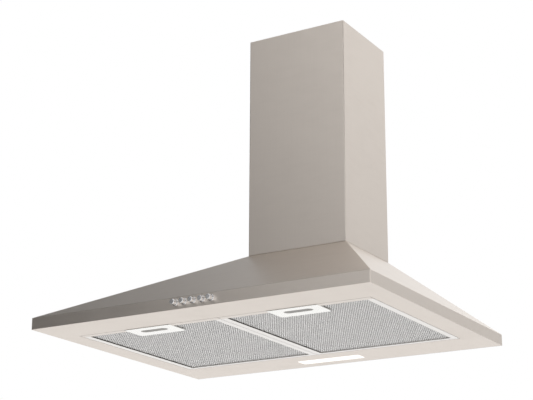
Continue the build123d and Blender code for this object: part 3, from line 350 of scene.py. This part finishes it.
def filter_frame_finish(name, colour, front_colour, shade):
    """Folded aluminium: its front lip is duller, and the wall round the net is darkened as painted
    shade from the recess.
    """
    material, w, shader = new_finish(name)
    shader.inputs["Metallic"].default_value = 1.0
    place = w.add("ShaderNodeSeparateXYZ")
    w.join(w.add("ShaderNodeTexCoord").outputs["Object"], place.inputs[0])
    low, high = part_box("filter_frame_right")
    rear_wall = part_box("filter_mesh_right")[1].y
    middle_x = (low.x + high.x) / 2
    front, rear = low.y + LIP_FRONT, rear_wall - LIP_REAR
    half_x, half_y = (high.x - low.x) / 2 - LIP_SIDE, (rear - front) / 2
    off_x = w.math("ABSOLUTE", w.math("SUBTRACT", w.math("ABSOLUTE", place.outputs[0]), middle_x))
    off_y = w.math("ABSOLUTE", w.math("SUBTRACT", place.outputs[1], (front + rear) / 2))
    rise = w.math("SUBTRACT", place.outputs[2], low.z)
    # Painted shade: the wall round the net takes the dark shade colour, standing in for the shadow
    # in the recess.
    painted_shade_mask = w.math("MULTIPLY", w.math("LESS_THAN", off_x, half_x + WALL_SLACK),
                    w.math("LESS_THAN", off_y, half_y + WALL_SLACK))
    painted_shade_mask = w.math("MULTIPLY", painted_shade_mask, w.spread(rise, PAINTED_SHADE_START, PAINTED_SHADE_FULL))
    painted_shade_mask = w.math("MULTIPLY", painted_shade_mask, w.math("LESS_THAN", rise, RECESS_TOP + WALL_SLACK))
    lines = use_group(w, BRUSHING, Upright=0.0, Contrast=0.06)
    dulled = w.math("LESS_THAN", place.outputs[1], front - WALL_SLACK)
    lip = w.blend(dulled, (*colour, 1.0), (*front_colour, 1.0))
    tone = w.shaded(lip, lines.outputs["Level"])
    w.join(w.blend(painted_shade_mask, tone, (*shade, 1.0)), shader.inputs["Base Color"])
    w.join(w.spread(painted_shade_mask, 0.0, 1.0, 0.42, 0.7), shader.inputs["Roughness"])
    raise_bumps(w, shader, lines.outputs["Height"], 0.03, SHEET_RELIEF)
    return material


def stamped_net(name, colour, hole_shade_colour, roughness):
    """Stamped aluminium net: clean faces, and the walls inside its holes darkened as painted shade
    in the holes.
    """
    material, w, shader = new_finish(name)
    shader.inputs["Metallic"].default_value = 1.0
    normal = w.add("ShaderNodeSeparateXYZ")
    w.join(w.add("ShaderNodeNewGeometry").outputs["Normal"], normal.inputs[0])
    flat = w.math("GREATER_THAN", w.math("ABSOLUTE", normal.outputs[2]), 0.5)
    skin = use_group(w, GRAIN, Scale=1400.0)
    face = w.shaded((*colour, 1.0), skin.outputs["Level"])
    # Painted shade: walls that face sideways take the darker colour, standing in for the shade
    # inside the holes.
    w.join(w.blend(flat, (*hole_shade_colour, 1.0), face), shader.inputs["Base Color"])
    w.join(w.spread(skin.outputs["Height"], 0.3, 0.7, roughness - 0.03, roughness + 0.03),
           shader.inputs["Roughness"])
    raise_bumps(w, shader, skin.outputs["Height"], 0.03, GRAIN_RELIEF)
    return material


def knitted_pad(name, colour):
    """Crimped aluminium ribbon, seen as crossing fine ridges."""
    material, w, shader = new_finish(name)
    shader.inputs["Metallic"].default_value = 1.0
    place = w.add("ShaderNodeTexCoord").outputs["Object"]
    threads = w.add("ShaderNodeTexVoronoi", feature="DISTANCE_TO_EDGE")
    w.join(place, threads.inputs["Vector"])
    threads.inputs["Scale"].default_value = 700.0
    ridge = w.spread(threads.outputs["Distance"], 0.0, 0.25, 1.0, 0.0)
    w.join(w.shaded((*colour, 1.0), w.spread(ridge, 0.0, 1.0, 0.7, 1.15)),
           shader.inputs["Base Color"])
    w.join(w.spread(ridge, 0.0, 1.0, 0.75, 0.5), shader.inputs["Roughness"])
    raise_bumps(w, shader, ridge, 0.25, SHEET_RELIEF)
    return material


def circuit_board(name):
    """Green board with paler tracks under the lacquer."""
    material, w, shader = new_finish(name)
    place = w.add("ShaderNodeTexCoord").outputs["Object"]
    tracks = w.add("ShaderNodeTexBrick")
    w.join(w.scaled(place, (1.0, 1.0, 0.0)), tracks.inputs["Vector"])
    tracks.inputs["Scale"].default_value = 260.0
    tracks.inputs["Mortar Size"].default_value = 0.06
    tracks.inputs["Color1"].default_value = (0.01, 0.12, 0.05, 1.0)
    tracks.inputs["Color2"].default_value = (0.015, 0.15, 0.06, 1.0)
    tracks.inputs["Mortar"].default_value = (0.05, 0.26, 0.10, 1.0)
    w.join(tracks.outputs["Color"], shader.inputs["Base Color"])
    w.join(w.spread(w.noise(place, 500.0), 0.3, 0.7, 0.25, 0.4), shader.inputs["Roughness"])
    raise_bumps(w, shader, tracks.outputs["Fac"], 0.1, TRACK_RELIEF)
    return material


def lit_lens(name):
    """Opal lens that glows evenly over the whole strip."""
    material, w, shader = new_finish(name)
    place = w.add("ShaderNodeTexCoord").outputs["Object"]
    cloud = w.noise(place, 40.0, 2.0)
    w.join(w.shaded((0.93, 0.92, 0.89, 1.0), w.spread(cloud, 0.3, 0.7, 0.98, 1.0)),
           shader.inputs["Base Color"])
    w.join(w.shaded((1.0, 0.985, 0.95, 1.0), w.spread(cloud, 0.3, 0.7, 0.96, 1.0)),
           shader.inputs["Emission Color"])
    shader.inputs["Emission Strength"].default_value = LAMP_GLOW
    w.join(w.spread(w.noise(place, 1800.0), 0.3, 0.7, 0.25, 0.4), shader.inputs["Roughness"])
    return material


def lit_diode(name):
    """Yellow phosphor of a small lamp diode."""
    material, w, shader = new_finish(name)
    place = w.add("ShaderNodeTexCoord").outputs["Object"]
    spots = w.spread(w.noise(place, 1400.0), 0.3, 0.7, 0.9, 1.0)
    w.join(w.shaded((0.85, 0.62, 0.10, 1.0), spots), shader.inputs["Base Color"])
    w.join(w.shaded((1.0, 0.85, 0.5, 1.0), spots), shader.inputs["Emission Color"])
    shader.inputs["Emission Strength"].default_value = LAMP_GLOW
    w.join(w.spread(spots, 0.9, 1.0, 0.35, 0.5), shader.inputs["Roughness"])
    return material


FINISHES = {
    "hood_steel": brushed_metal("hood_brushed_steel", STEEL, 0.38),
    "chimney_steel": brushed_metal("chimney_brushed_steel", STEEL, 0.42, upright=1.0),
    "panel_steel": brushed_metal("panel_brushed_steel", PANEL_STEEL, 0.42),
    "zinc_sheet": galvanised("galvanised_sheet"),
    # The last colour of the filter frame is painted shade on the wall round the net.
    "filter_frame_metal": filter_frame_finish("filter_frame_aluminium", (0.90, 0.875, 0.85),
                                              (0.79, 0.735, 0.68), (0.10, 0.09, 0.08)),
    # The second colour of the net is painted shade on the walls inside its holes.
    "filter_net_metal": stamped_net("filter_net_aluminium", (0.97, 0.955, 0.94),
                                    (0.55, 0.545, 0.54), 0.35),
    "filter_pad_metal": knitted_pad("filter_pad_aluminium", (0.72, 0.71, 0.70)),
    "handle_metal": brushed_metal("handle_aluminium", (0.955, 0.945, 0.915), 0.24, contrast=0.03,
                                  bump=0.008),
    "grip_plastic": moulded("grip_plastic", (0.60, 0.59, 0.575), 0.45),
    "spring_steel": plain_metal("spring_wire", (0.55, 0.54, 0.52), 0.28),
    "button_chrome": plain_metal("button_chrome", CHROME, 0.28, grain=2600.0),
    "bezel_chrome": plain_metal("bezel_chrome", CHROME, 0.16, grain=2600.0),
    "black_plastic": moulded("black_plastic", (0.025, 0.025, 0.027), 0.45),
    "board_green": circuit_board("circuit_board"),
    "lens_white": lit_lens("lit_lens"),
    "lamp_white": moulded("lamp_tray_white", (0.82, 0.82, 0.80), 0.5),
    "diode_yellow": lit_diode("lit_diode"),
    "scroll_plastic": moulded("scroll_plastic", (0.055, 0.056, 0.06), 0.5),
    "impeller_plastic": moulded("impeller_plastic", (0.10, 0.10, 0.105), 0.45),
    "motor_steel": plain_metal("motor_steel", (0.52, 0.53, 0.54), 0.38, wear=0.5),
    "shaft_steel": plain_metal("shaft_steel", (0.62, 0.61, 0.60), 0.22),
    "screw_steel": plain_metal("screw_steel", (0.66, 0.66, 0.66), 0.28, wear=0.6),
    "collar_plastic": moulded("collar_plastic", (0.07, 0.07, 0.072), 0.5),
    "flap_plastic": moulded("flap_plastic", (0.12, 0.12, 0.122), 0.5),
    "capacitor_white": moulded("capacitor_white", (0.78, 0.78, 0.75), 0.4),
    "terminal_plastic": moulded("terminal_plastic", (0.20, 0.20, 0.205), 0.5),
}


def give_finishes():
    """Puts on each CAD node the finish of its material slot."""
    slot_of = {part["node"]: part["material_slot"] for part in frame["record"]["subparts"]}
    for node, obj in frame["nodes"].items():
        obj.data.materials.clear()
        obj.data.materials.append(FINISHES[slot_of[node]])


# ------------------------------------------------------------- filter nets

def hole_cell_group():
    """Geometry Nodes tree: a sheet with hexagonal holes in staggered rows."""
    tree = bpy.data.node_groups.new("perforated_net", "GeometryNodeTree")
    for label, kind in (("Columns", "NodeSocketInt"), ("Rows", "NodeSocketInt"),
                        ("Pitch", "NodeSocketFloat"), ("Hole Radius", "NodeSocketFloat"),
                        ("Thickness", "NodeSocketFloat"), ("Corner", "NodeSocketVector"),
                        ("Notch Middle", "NodeSocketVector"), ("Notch Half", "NodeSocketVector"),
                        ("Finish", "NodeSocketMaterial")):
        tree.interface.new_socket(label, in_out="INPUT", socket_type=kind)
    tree.interface.new_socket("Geometry", in_out="OUTPUT", socket_type="NodeSocketGeometry")
    w = Wiring(tree)
    given = w.add("NodeGroupInput").outputs
    out = w.add("NodeGroupOutput")

    # One row of cells, then rows of it, each moved by half a pitch in turn.
    row_step = w.math("MULTIPLY", given["Pitch"], math.sqrt(3) / 2)
    count = w.add("ShaderNodeMath", operation="MULTIPLY")
    w.join(given["Columns"], count.inputs[0])
    w.join(given["Rows"], count.inputs[1])
    points = w.add("GeometryNodePoints")
    w.join(count.outputs[0], points.inputs["Count"])
    index = w.add("GeometryNodeInputIndex").outputs[0]
    column = w.math("MODULO", index, given["Columns"])
    row = w.math("FLOOR", w.math("DIVIDE", index, given["Columns"]))
    shift = w.math("MULTIPLY", w.math("MODULO", row, 2.0), 0.5)
    x = w.math("MULTIPLY", w.math("ADD", column, shift), given["Pitch"])
    y = w.math("MULTIPLY", row, row_step)
    place = w.add("ShaderNodeCombineXYZ")
    w.join(x, place.inputs[0])
    w.join(y, place.inputs[1])
    moved = w.add("ShaderNodeVectorMath", operation="ADD")
    w.join(place.outputs[0], moved.inputs[0])
    w.join(given["Corner"], moved.inputs[1])
    w.join(moved.outputs[0], points.inputs["Position"])

    # The cells round the latch are left out.
    from_notch = w.add("ShaderNodeVectorMath", operation="SUBTRACT")
    w.join(w.add("GeometryNodeInputPosition").outputs[0], from_notch.inputs[0])
    w.join(given["Notch Middle"], from_notch.inputs[1])
    apart = w.add("ShaderNodeVectorMath", operation="ABSOLUTE")
    w.join(from_notch.outputs[0], apart.inputs[0])
    apart_xyz = w.add("ShaderNodeSeparateXYZ")
    w.join(apart.outputs[0], apart_xyz.inputs[0])
    half_xyz = w.add("ShaderNodeSeparateXYZ")
    w.join(given["Notch Half"], half_xyz.inputs[0])
    in_notch = w.math("MULTIPLY", w.math("LESS_THAN", apart_xyz.outputs[0], half_xyz.outputs[0]),
                      w.math("LESS_THAN", apart_xyz.outputs[1], half_xyz.outputs[1]))
    kept = w.add("GeometryNodeDeleteGeometry", domain="POINT")
    w.join(points.outputs[0], kept.inputs["Geometry"])
    w.join(in_notch, kept.inputs["Selection"])

    # The web of one cell: a hexagonal tube whose wall fills the cell round its hole.
    def hexagon(radius, depth):
        tube = w.add("GeometryNodeMeshCylinder", fill_type="NONE")
        tube.inputs["Vertices"].default_value = 6
        w.feed(radius, tube.inputs["Radius"])
        w.feed(depth, tube.inputs["Depth"])
        return tube.outputs["Mesh"]

    hole = w.add("GeometryNodeFlipFaces")
    w.join(hexagon(given["Hole Radius"], given["Thickness"]), hole.inputs[0])
    ring_points = w.math("MULTIPLY", given["Pitch"], 1 / math.sqrt(3))

    def face_ring(up):
        """Flat web between the hole and the cell's outline, on one side of the sheet."""
        circle = w.add("GeometryNodeMeshCircle", fill_type="NONE")
        circle.inputs["Vertices"].default_value = 6
        w.join(given["Hole Radius"], circle.inputs["Radius"])
        grow = w.add("GeometryNodeExtrudeMesh", mode="EDGES")
        w.join(circle.outputs["Mesh"], grow.inputs["Mesh"])
        outward = w.add("ShaderNodeVectorMath", operation="NORMALIZE")
        w.join(w.add("GeometryNodeInputPosition").outputs[0], outward.inputs[0])
        w.join(outward.outputs[0], grow.inputs["Offset"])
        w.join(w.math("SUBTRACT", ring_points, given["Hole Radius"]),
               grow.inputs["Offset Scale"])
        shift_z = w.add("GeometryNodeTransform")
        lift = w.add("ShaderNodeCombineXYZ")
        w.join(w.math("MULTIPLY", given["Thickness"], 0.5 if up else -0.5), lift.inputs[2])
        w.join(lift.outputs[0], shift_z.inputs["Translation"])
        if up:
            w.join(grow.outputs["Mesh"], shift_z.inputs[0])
            return shift_z.outputs[0]
        flip = w.add("GeometryNodeFlipFaces")
        w.join(grow.outputs["Mesh"], flip.inputs[0])
        w.join(flip.outputs[0], shift_z.inputs[0])
        return shift_z.outputs[0]

    cell = w.add("GeometryNodeJoinGeometry")
    for part in (hole.outputs[0], face_ring(True), face_ring(False)):
        w.join(part, cell.inputs[0])
    turn = w.add("GeometryNodeTransform")
    w.join(cell.outputs[0], turn.inputs[0])
    turn.inputs["Rotation"].default_value = (0.0, 0.0, math.radians(30))
    cells = w.add("GeometryNodeInstanceOnPoints")
    w.join(kept.outputs[0], cells.inputs["Points"])
    w.join(turn.outputs[0], cells.inputs["Instance"])
    real = w.add("GeometryNodeRealizeInstances")
    w.join(cells.outputs[0], real.inputs[0])
    finish = w.add("GeometryNodeSetMaterial")
    w.join(real.outputs[0], finish.inputs[0])
    w.join(given["Finish"], finish.inputs["Material"])
    w.join(finish.outputs[0], out.inputs[0])
    return tree


NET_TREE = hole_cell_group()


def new_piece(name, mesh, body, slot, *nodes):
    """Object for a finished mesh that rides on a body and may stand for CAD nodes."""
    obj = bpy.data.objects.new(name, mesh)
    bpy.context.collection.objects.link(obj)
    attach(obj, body)
    if nodes:
        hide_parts(*nodes)
    return obj


def baked(name, tree, values):
    """Mesh that a Geometry Nodes tree makes from the named values."""
    carrier = bpy.data.objects.new(name + "_carrier", bpy.data.meshes.new(name + "_carrier"))
    bpy.context.collection.objects.link(carrier)
    modifier = carrier.modifiers.new(name, "NODES")
    modifier.node_group = tree
    for item in tree.interface.items_tree:
        if item.item_type == "SOCKET" and item.in_out == "INPUT":
            modifier[item.identifier] = values[item.name]
    bpy.context.view_layer.update()
    evaluated = carrier.evaluated_get(bpy.context.evaluated_depsgraph_get())
    mesh = bpy.data.meshes.new_from_object(evaluated)
    mesh.name = name
    bpy.data.objects.remove(carrier)
    return mesh


def latch_notch(side, grow):
    """Middle and half size of the space that the latch takes out of the filter."""
    low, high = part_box(f"latch_box_{side}")
    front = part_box(f"filter_frame_{side}")[0].y
    rear = high.y + LATCH_CLEARANCE + grow
    middle = Vector(((low.x + high.x) / 2, (front + rear) / 2, 0.0))
    half = Vector(((high.x - low.x) / 2 + LATCH_CLEARANCE + grow, (rear - front) / 2, 0.0))
    return middle, half


def filter_net(side, layer, z):
    """One facing net of a grease filter: it reaches a little way over the lips."""
    low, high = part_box(f"filter_frame_{side}")
    rear_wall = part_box(f"filter_mesh_{side}")[1].y
    width = high.x - low.x - 2 * (LIP_SIDE - NET_HELD)
    front, rear = low.y + LIP_FRONT - NET_HELD, rear_wall - LIP_REAR + NET_HELD
    row_step = HOLE_PITCH * math.sqrt(3) / 2
    columns = int(width / HOLE_PITCH)
    rows = int((rear - front) / row_step)
    corner = Vector(((low.x + high.x) / 2 - (columns - 0.5) * HOLE_PITCH / 2,
                     (front + rear) / 2 - (rows - 1) * row_step / 2, z))
    notch_middle, notch_half = latch_notch(side, HOLE_PITCH / 2)
    return baked(f"filter_{layer}_net_{side}", NET_TREE, {
        "Columns": columns, "Rows": rows, "Pitch": HOLE_PITCH, "Hole Radius": HOLE_RADIUS,
        "Thickness": NET_THICKNESS, "Corner": corner, "Notch Middle": notch_middle,
        "Notch Half": notch_half, "Finish": FINISHES["filter_net_metal"]})


def filter_pad(side):
    """Knitted aluminium pad with a lumpy face, notched round the latch."""
    low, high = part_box(f"filter_mesh_{side}")
    z0, z1 = low.z + NET_THICKNESS + PAD_PUFF, high.z - NET_THICKNESS - PAD_PUFF
    columns = round((high.x - low.x) / PAD_CELL)
    rows = round((high.y - low.y) / PAD_CELL)
    middle, half = latch_notch(side, 0.0)
    lumps = random.Random(PAD_SEED)
    shape = bmesh.new()
    grid = {}
    for level, z in enumerate((z0, z1)):
        for i in range(columns + 1):
            for j in range(rows + 1):
                puff = lumps.uniform(-PAD_PUFF, PAD_PUFF) * PAD_PUFF_SHARE
                place = (low.x + (high.x - low.x) * i / columns,
                         low.y + (high.y - low.y) * j / rows, z + puff)
                grid[level, i, j] = shape.verts.new(place)

    def there(i, j):
        if not (0 <= i < columns and 0 <= j < rows):
            return False
        x = low.x + (high.x - low.x) * (i + 0.5) / columns
        y = low.y + (high.y - low.y) * (j + 0.5) / rows
        return (abs(x - middle.x) > half.x + PAD_CELL / 2
                or abs(y - middle.y) > half.y + PAD_CELL / 2)

    for i in range(columns):
        for j in range(rows):
            if not there(i, j):
                continue
            corners = ((i, j), (i + 1, j), (i + 1, j + 1), (i, j + 1))
            shape.faces.new([grid[0, a, b] for a, b in reversed(corners)])
            shape.faces.new([grid[1, a, b] for a, b in corners])
            beside = ((i, j - 1), (i + 1, j), (i, j + 1), (i - 1, j))
            for side_index, (a, b) in enumerate(beside):
                if not there(a, b):
                    p, q = corners[side_index], corners[(side_index + 1) % 4]
                    shape.faces.new([grid[0, *p], grid[0, *q], grid[1, *q], grid[1, *p]])
    bmesh.ops.delete(shape, geom=[v for v in shape.verts if not v.link_faces], context="VERTS")
    for face in shape.faces:
        face.smooth = True
    mesh = bpy.data.meshes.new(f"filter_pad_{side}")
    shape.to_mesh(mesh)
    shape.free()
    mesh.materials.append(FINISHES["filter_pad_metal"])
    return mesh


def fill_filter(side):
    """Two facing nets and the pad between them, in place of the CAD mesh plate."""
    body = f"filter_{side}"
    low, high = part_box(f"filter_mesh_{side}")
    for layer, z in (("lower", low.z + NET_THICKNESS / 2), ("upper", high.z - NET_THICKNESS / 2)):
        new_piece(f"filter_{layer}_net_{side}", filter_net(side, layer, z), body,
                  "filter_net_metal", f"filter_mesh_{side}")
    new_piece(f"filter_pad_{side}", filter_pad(side), body, "filter_net_metal",
              f"filter_mesh_{side}")


# ------------------------------------------------------------- springs

def wind_springs():
    """Copies of the springs, each riding on the body of its spring node in place of that node."""
    bodies = frame["record"]["behaviour"]["bodies"]
    body_of = {node: body for body, nodes in bodies.items() for node in nodes}
    for joint in frame["record"]["behaviour"]["joints"]:
        for spring in joint.get("deforming_nodes", []):
            node = spring["node"]
            mesh = frame["nodes"][node].data.copy()
            coil = new_piece(f"{node}_coil", mesh, body_of[node], "spring_steel", node)
            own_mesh(coil)


# ------------------------------------------------------------- studio

CAMERA_PLACE = Vector((1.1547, -2.1889, -0.5776))
CAMERA_AZIMUTH = math.radians(-30.885)
CAMERA_ELEVATION = math.radians(17.901)
CAMERA_ROLL = math.radians(0.25)
CAMERA_LENS = 96.497
SENSOR_WIDTH = 36.0
SOFT_DAYLIGHT = 0.7
HOOD_MIDDLE_Y = -0.24
CARD_MIDDLE = Vector((0.0, HOOD_MIDDLE_Y, 0.2))
CARD_DISTANCE = 4.0
UPPER_CARD_DISTANCE = 3.8
FLOOR_Z = -1.75
FLOOR_RADIUS = 3.0
FLOOR_FADE_START = 1.0
FLOOR_FADE_END = 2.7


def add_camera():
    """Camera of the product picture."""
    azimuth, elevation, roll = CAMERA_AZIMUTH, CAMERA_ELEVATION, CAMERA_ROLL
    forward = Vector((math.sin(azimuth) * math.cos(elevation),
                      math.cos(azimuth) * math.cos(elevation), math.sin(elevation)))
    level_right = Vector((math.cos(azimuth), -math.sin(azimuth), 0.0))
    level_up = level_right.cross(forward)
    right = level_right * math.cos(roll) + level_up * math.sin(roll)
    up = level_up * math.cos(roll) - level_right * math.sin(roll)
    data = bpy.data.cameras.new("camera")
    data.lens = CAMERA_LENS
    data.sensor_width = SENSOR_WIDTH
    camera = bpy.data.objects.new("camera", data)
    camera.matrix_world = Matrix.LocRotScale(
        CAMERA_PLACE, Matrix((right, up, -forward)).transposed(), None)
    bpy.context.collection.objects.link(camera)
    bpy.context.scene.camera = camera


def light_the_world():
    """White background that the metal reflects too, over a softer grey daylight."""
    world = bpy.data.worlds.new("studio")
    bpy.context.scene.world = world
    world.use_nodes = True
    w = Wiring(world.node_tree)
    seen = world.node_tree.nodes["Background"]
    seen.inputs["Color"].default_value = (1.0, 1.0, 1.0, 1.0)
    soft = w.add("ShaderNodeBackground")
    soft.inputs["Color"].default_value = (1.0, 0.99, 0.98, 1.0)
    soft.inputs["Strength"].default_value = SOFT_DAYLIGHT
    path = w.add("ShaderNodeLightPath")
    direct = w.math("MAXIMUM", path.outputs["Is Camera Ray"],
                    w.math("MAXIMUM", path.outputs["Is Glossy Ray"],
                           path.outputs["Is Transmission Ray"]))
    mix = w.add("ShaderNodeMixShader")
    w.join(direct, mix.inputs[0])
    w.join(soft.outputs[0], mix.inputs[1])
    w.join(seen.outputs[0], mix.inputs[2])
    w.join(mix.outputs[0], world.node_tree.nodes["World Output"].inputs["Surface"])


def add_floor():
    """Pale round floor far below the hood that fades into the background."""
    mesh = bpy.data.meshes.new("floor")
    shape = bmesh.new()
    bmesh.ops.create_circle(shape, cap_ends=True, segments=96, radius=FLOOR_RADIUS)
    bmesh.ops.translate(shape, vec=(0.0, HOOD_MIDDLE_Y, FLOOR_Z), verts=shape.verts)
    shape.to_mesh(mesh)
    shape.free()
    floor = bpy.data.objects.new("floor", mesh)
    bpy.context.collection.objects.link(floor)
    material, w, shader = new_finish("floor_pale")
    shader.inputs["Base Color"].default_value = (0.93, 0.93, 0.93, 1.0)
    shader.inputs["Roughness"].default_value = 0.9
    shader.inputs["Specular IOR Level"].default_value = 0.1
    place = w.add("ShaderNodeTexCoord").outputs["Object"]
    distance = w.add("ShaderNodeVectorMath", operation="LENGTH")
    w.join(w.scaled(place, (1.0, 1.0, 0.0)), distance.inputs[0])
    solid = w.spread(distance.outputs["Value"], FLOOR_FADE_START, FLOOR_FADE_END, 1.0, 0.0)
    back = w.add("ShaderNodeNewGeometry").outputs["Backfacing"]
    w.join(w.math("MULTIPLY", solid, w.math("SUBTRACT", 1.0, back)), shader.inputs["Alpha"])
    mesh.materials.append(material)


def add_card(name, columns, rows, distance=CARD_DISTANCE):
    """Curved grey card round the hood that only shades what the metal reflects.

    columns holds (turn, grey) pairs. A turn is counted in degrees from
    straight ahead of the hood (0) over its left (90). rows holds (elevation
    in degrees, factor) pairs. The grey changes evenly between them.
    """
    corners, greys = [], []
    for turn, grey in columns:
        for rise, factor in rows:
            a, e = math.radians(turn), math.radians(rise)
            outward = Vector((-math.sin(a) * math.cos(e), -math.cos(a) * math.cos(e), math.sin(e)))
            corners.append(CARD_MIDDLE + distance * outward)
            greys.append(grey * factor)
    high = len(rows)
    faces = [(i * high + j, i * high + j + 1, (i + 1) * high + j + 1, (i + 1) * high + j)
             for i in range(len(columns) - 1) for j in range(high - 1)]
    mesh = bpy.data.meshes.new(name)
    mesh.from_pydata([tuple(c) for c in corners], [], faces)
    level = mesh.attributes.new("level", "FLOAT", "POINT")
    level.data.foreach_set("value", greys)
    card = bpy.data.objects.new(name, mesh)
    bpy.context.collection.objects.link(card)
    material = bpy.data.materials.new(name)
    material.use_nodes = True
    w = Wiring(material.node_tree)
    material.node_tree.nodes.remove(material.node_tree.nodes["Principled BSDF"])
    glow = w.add("ShaderNodeEmission")
    w.join(w.add("ShaderNodeAttribute", attribute_name="level").outputs["Fac"],
           glow.inputs["Strength"])
    w.join(glow.outputs[0], material.node_tree.nodes["Material Output"].inputs["Surface"])
    mesh.materials.append(material)
    card.visible_camera = card.visible_diffuse = card.visible_shadow = False


def add_lamp(name, place, target, size, power):
    """Round soft lamp that looks at a target."""
    data = bpy.data.lights.new(name, "AREA")
    data.shape = "DISK"
    data.size = size
    data.energy = power
    lamp = bpy.data.objects.new(name, data)
    lamp.location = place
    lamp.rotation_mode = "QUATERNION"
    lamp.rotation_quaternion = (Vector(target) - Vector(place)).to_track_quat("-Z", "Y")
    bpy.context.collection.objects.link(lamp)


def build_studio():
    """Camera, white surroundings, floor, and the cards and lamps that shade the steel."""
    add_camera()
    light_the_world()
    add_floor()
    add_card("front_low_card", [(-8, 0.9), (10, 0.85), (22, 0.7), (27, 0.46), (30.5, 0.03),
                                (50, 0.03), (62, 0.12), (85, 0.25), (97, 0.7)],
             [(-35, 0.75), (9, 0.75), (15, 1.0)])
    add_card("front_high_card", [(-8, 1.0), (22, 1.0), (33, 0.9), (42, 0.3), (50, 0.05),
                                 (62, 0.1), (85, 0.2), (97, 0.7)],
             [(15, 0.85), (24, 1.15), (48, 1.15)])
    add_card("upper_left_card", [(35, 0.3), (45, 0.02), (95, 0.03), (112, 0.12), (128, 0.2),
                                 (138, 0.34), (146, 0.55), (156, 0.5), (168, 1.1), (190, 1.2)],
             [(14, 1.0), (30, 1.0), (80, 1.0)], UPPER_CARD_DISTANCE)
    add_card("right_front_card", [(-115, 0.8), (-100, 0.15), (-20, 0.1), (-10, 0.8)],
             [(15, 1.0), (50, 1.0)])
    add_card("right_card", [(195, 0.95), (208, 0.64), (245, 0.64), (255, 1.0)],
             [(-25, 1.0), (12, 1.0), (24, 1.5)])
    add_lamp("back_lamp", (-0.8, 3.4, 1.8), (0.1, -0.25, 0.05), 1.4, 6.0)
    add_lamp("front_lamp", (1.6, -2.8, 3.0), (0.0, -0.25, 0.1), 2.0, 8.0)
    add_lamp("low_lamp", (0.8, -1.4, -1.6), (0.0, -0.25, -0.05), 1.4, 3.0)


# ------------------------------------------------------------- dressing

give_finishes()
for side in ("left", "right"):
    fill_filter(side)
wind_springs()
build_studio()

scene = bpy.context.scene
scene.view_settings.view_transform = "Standard"
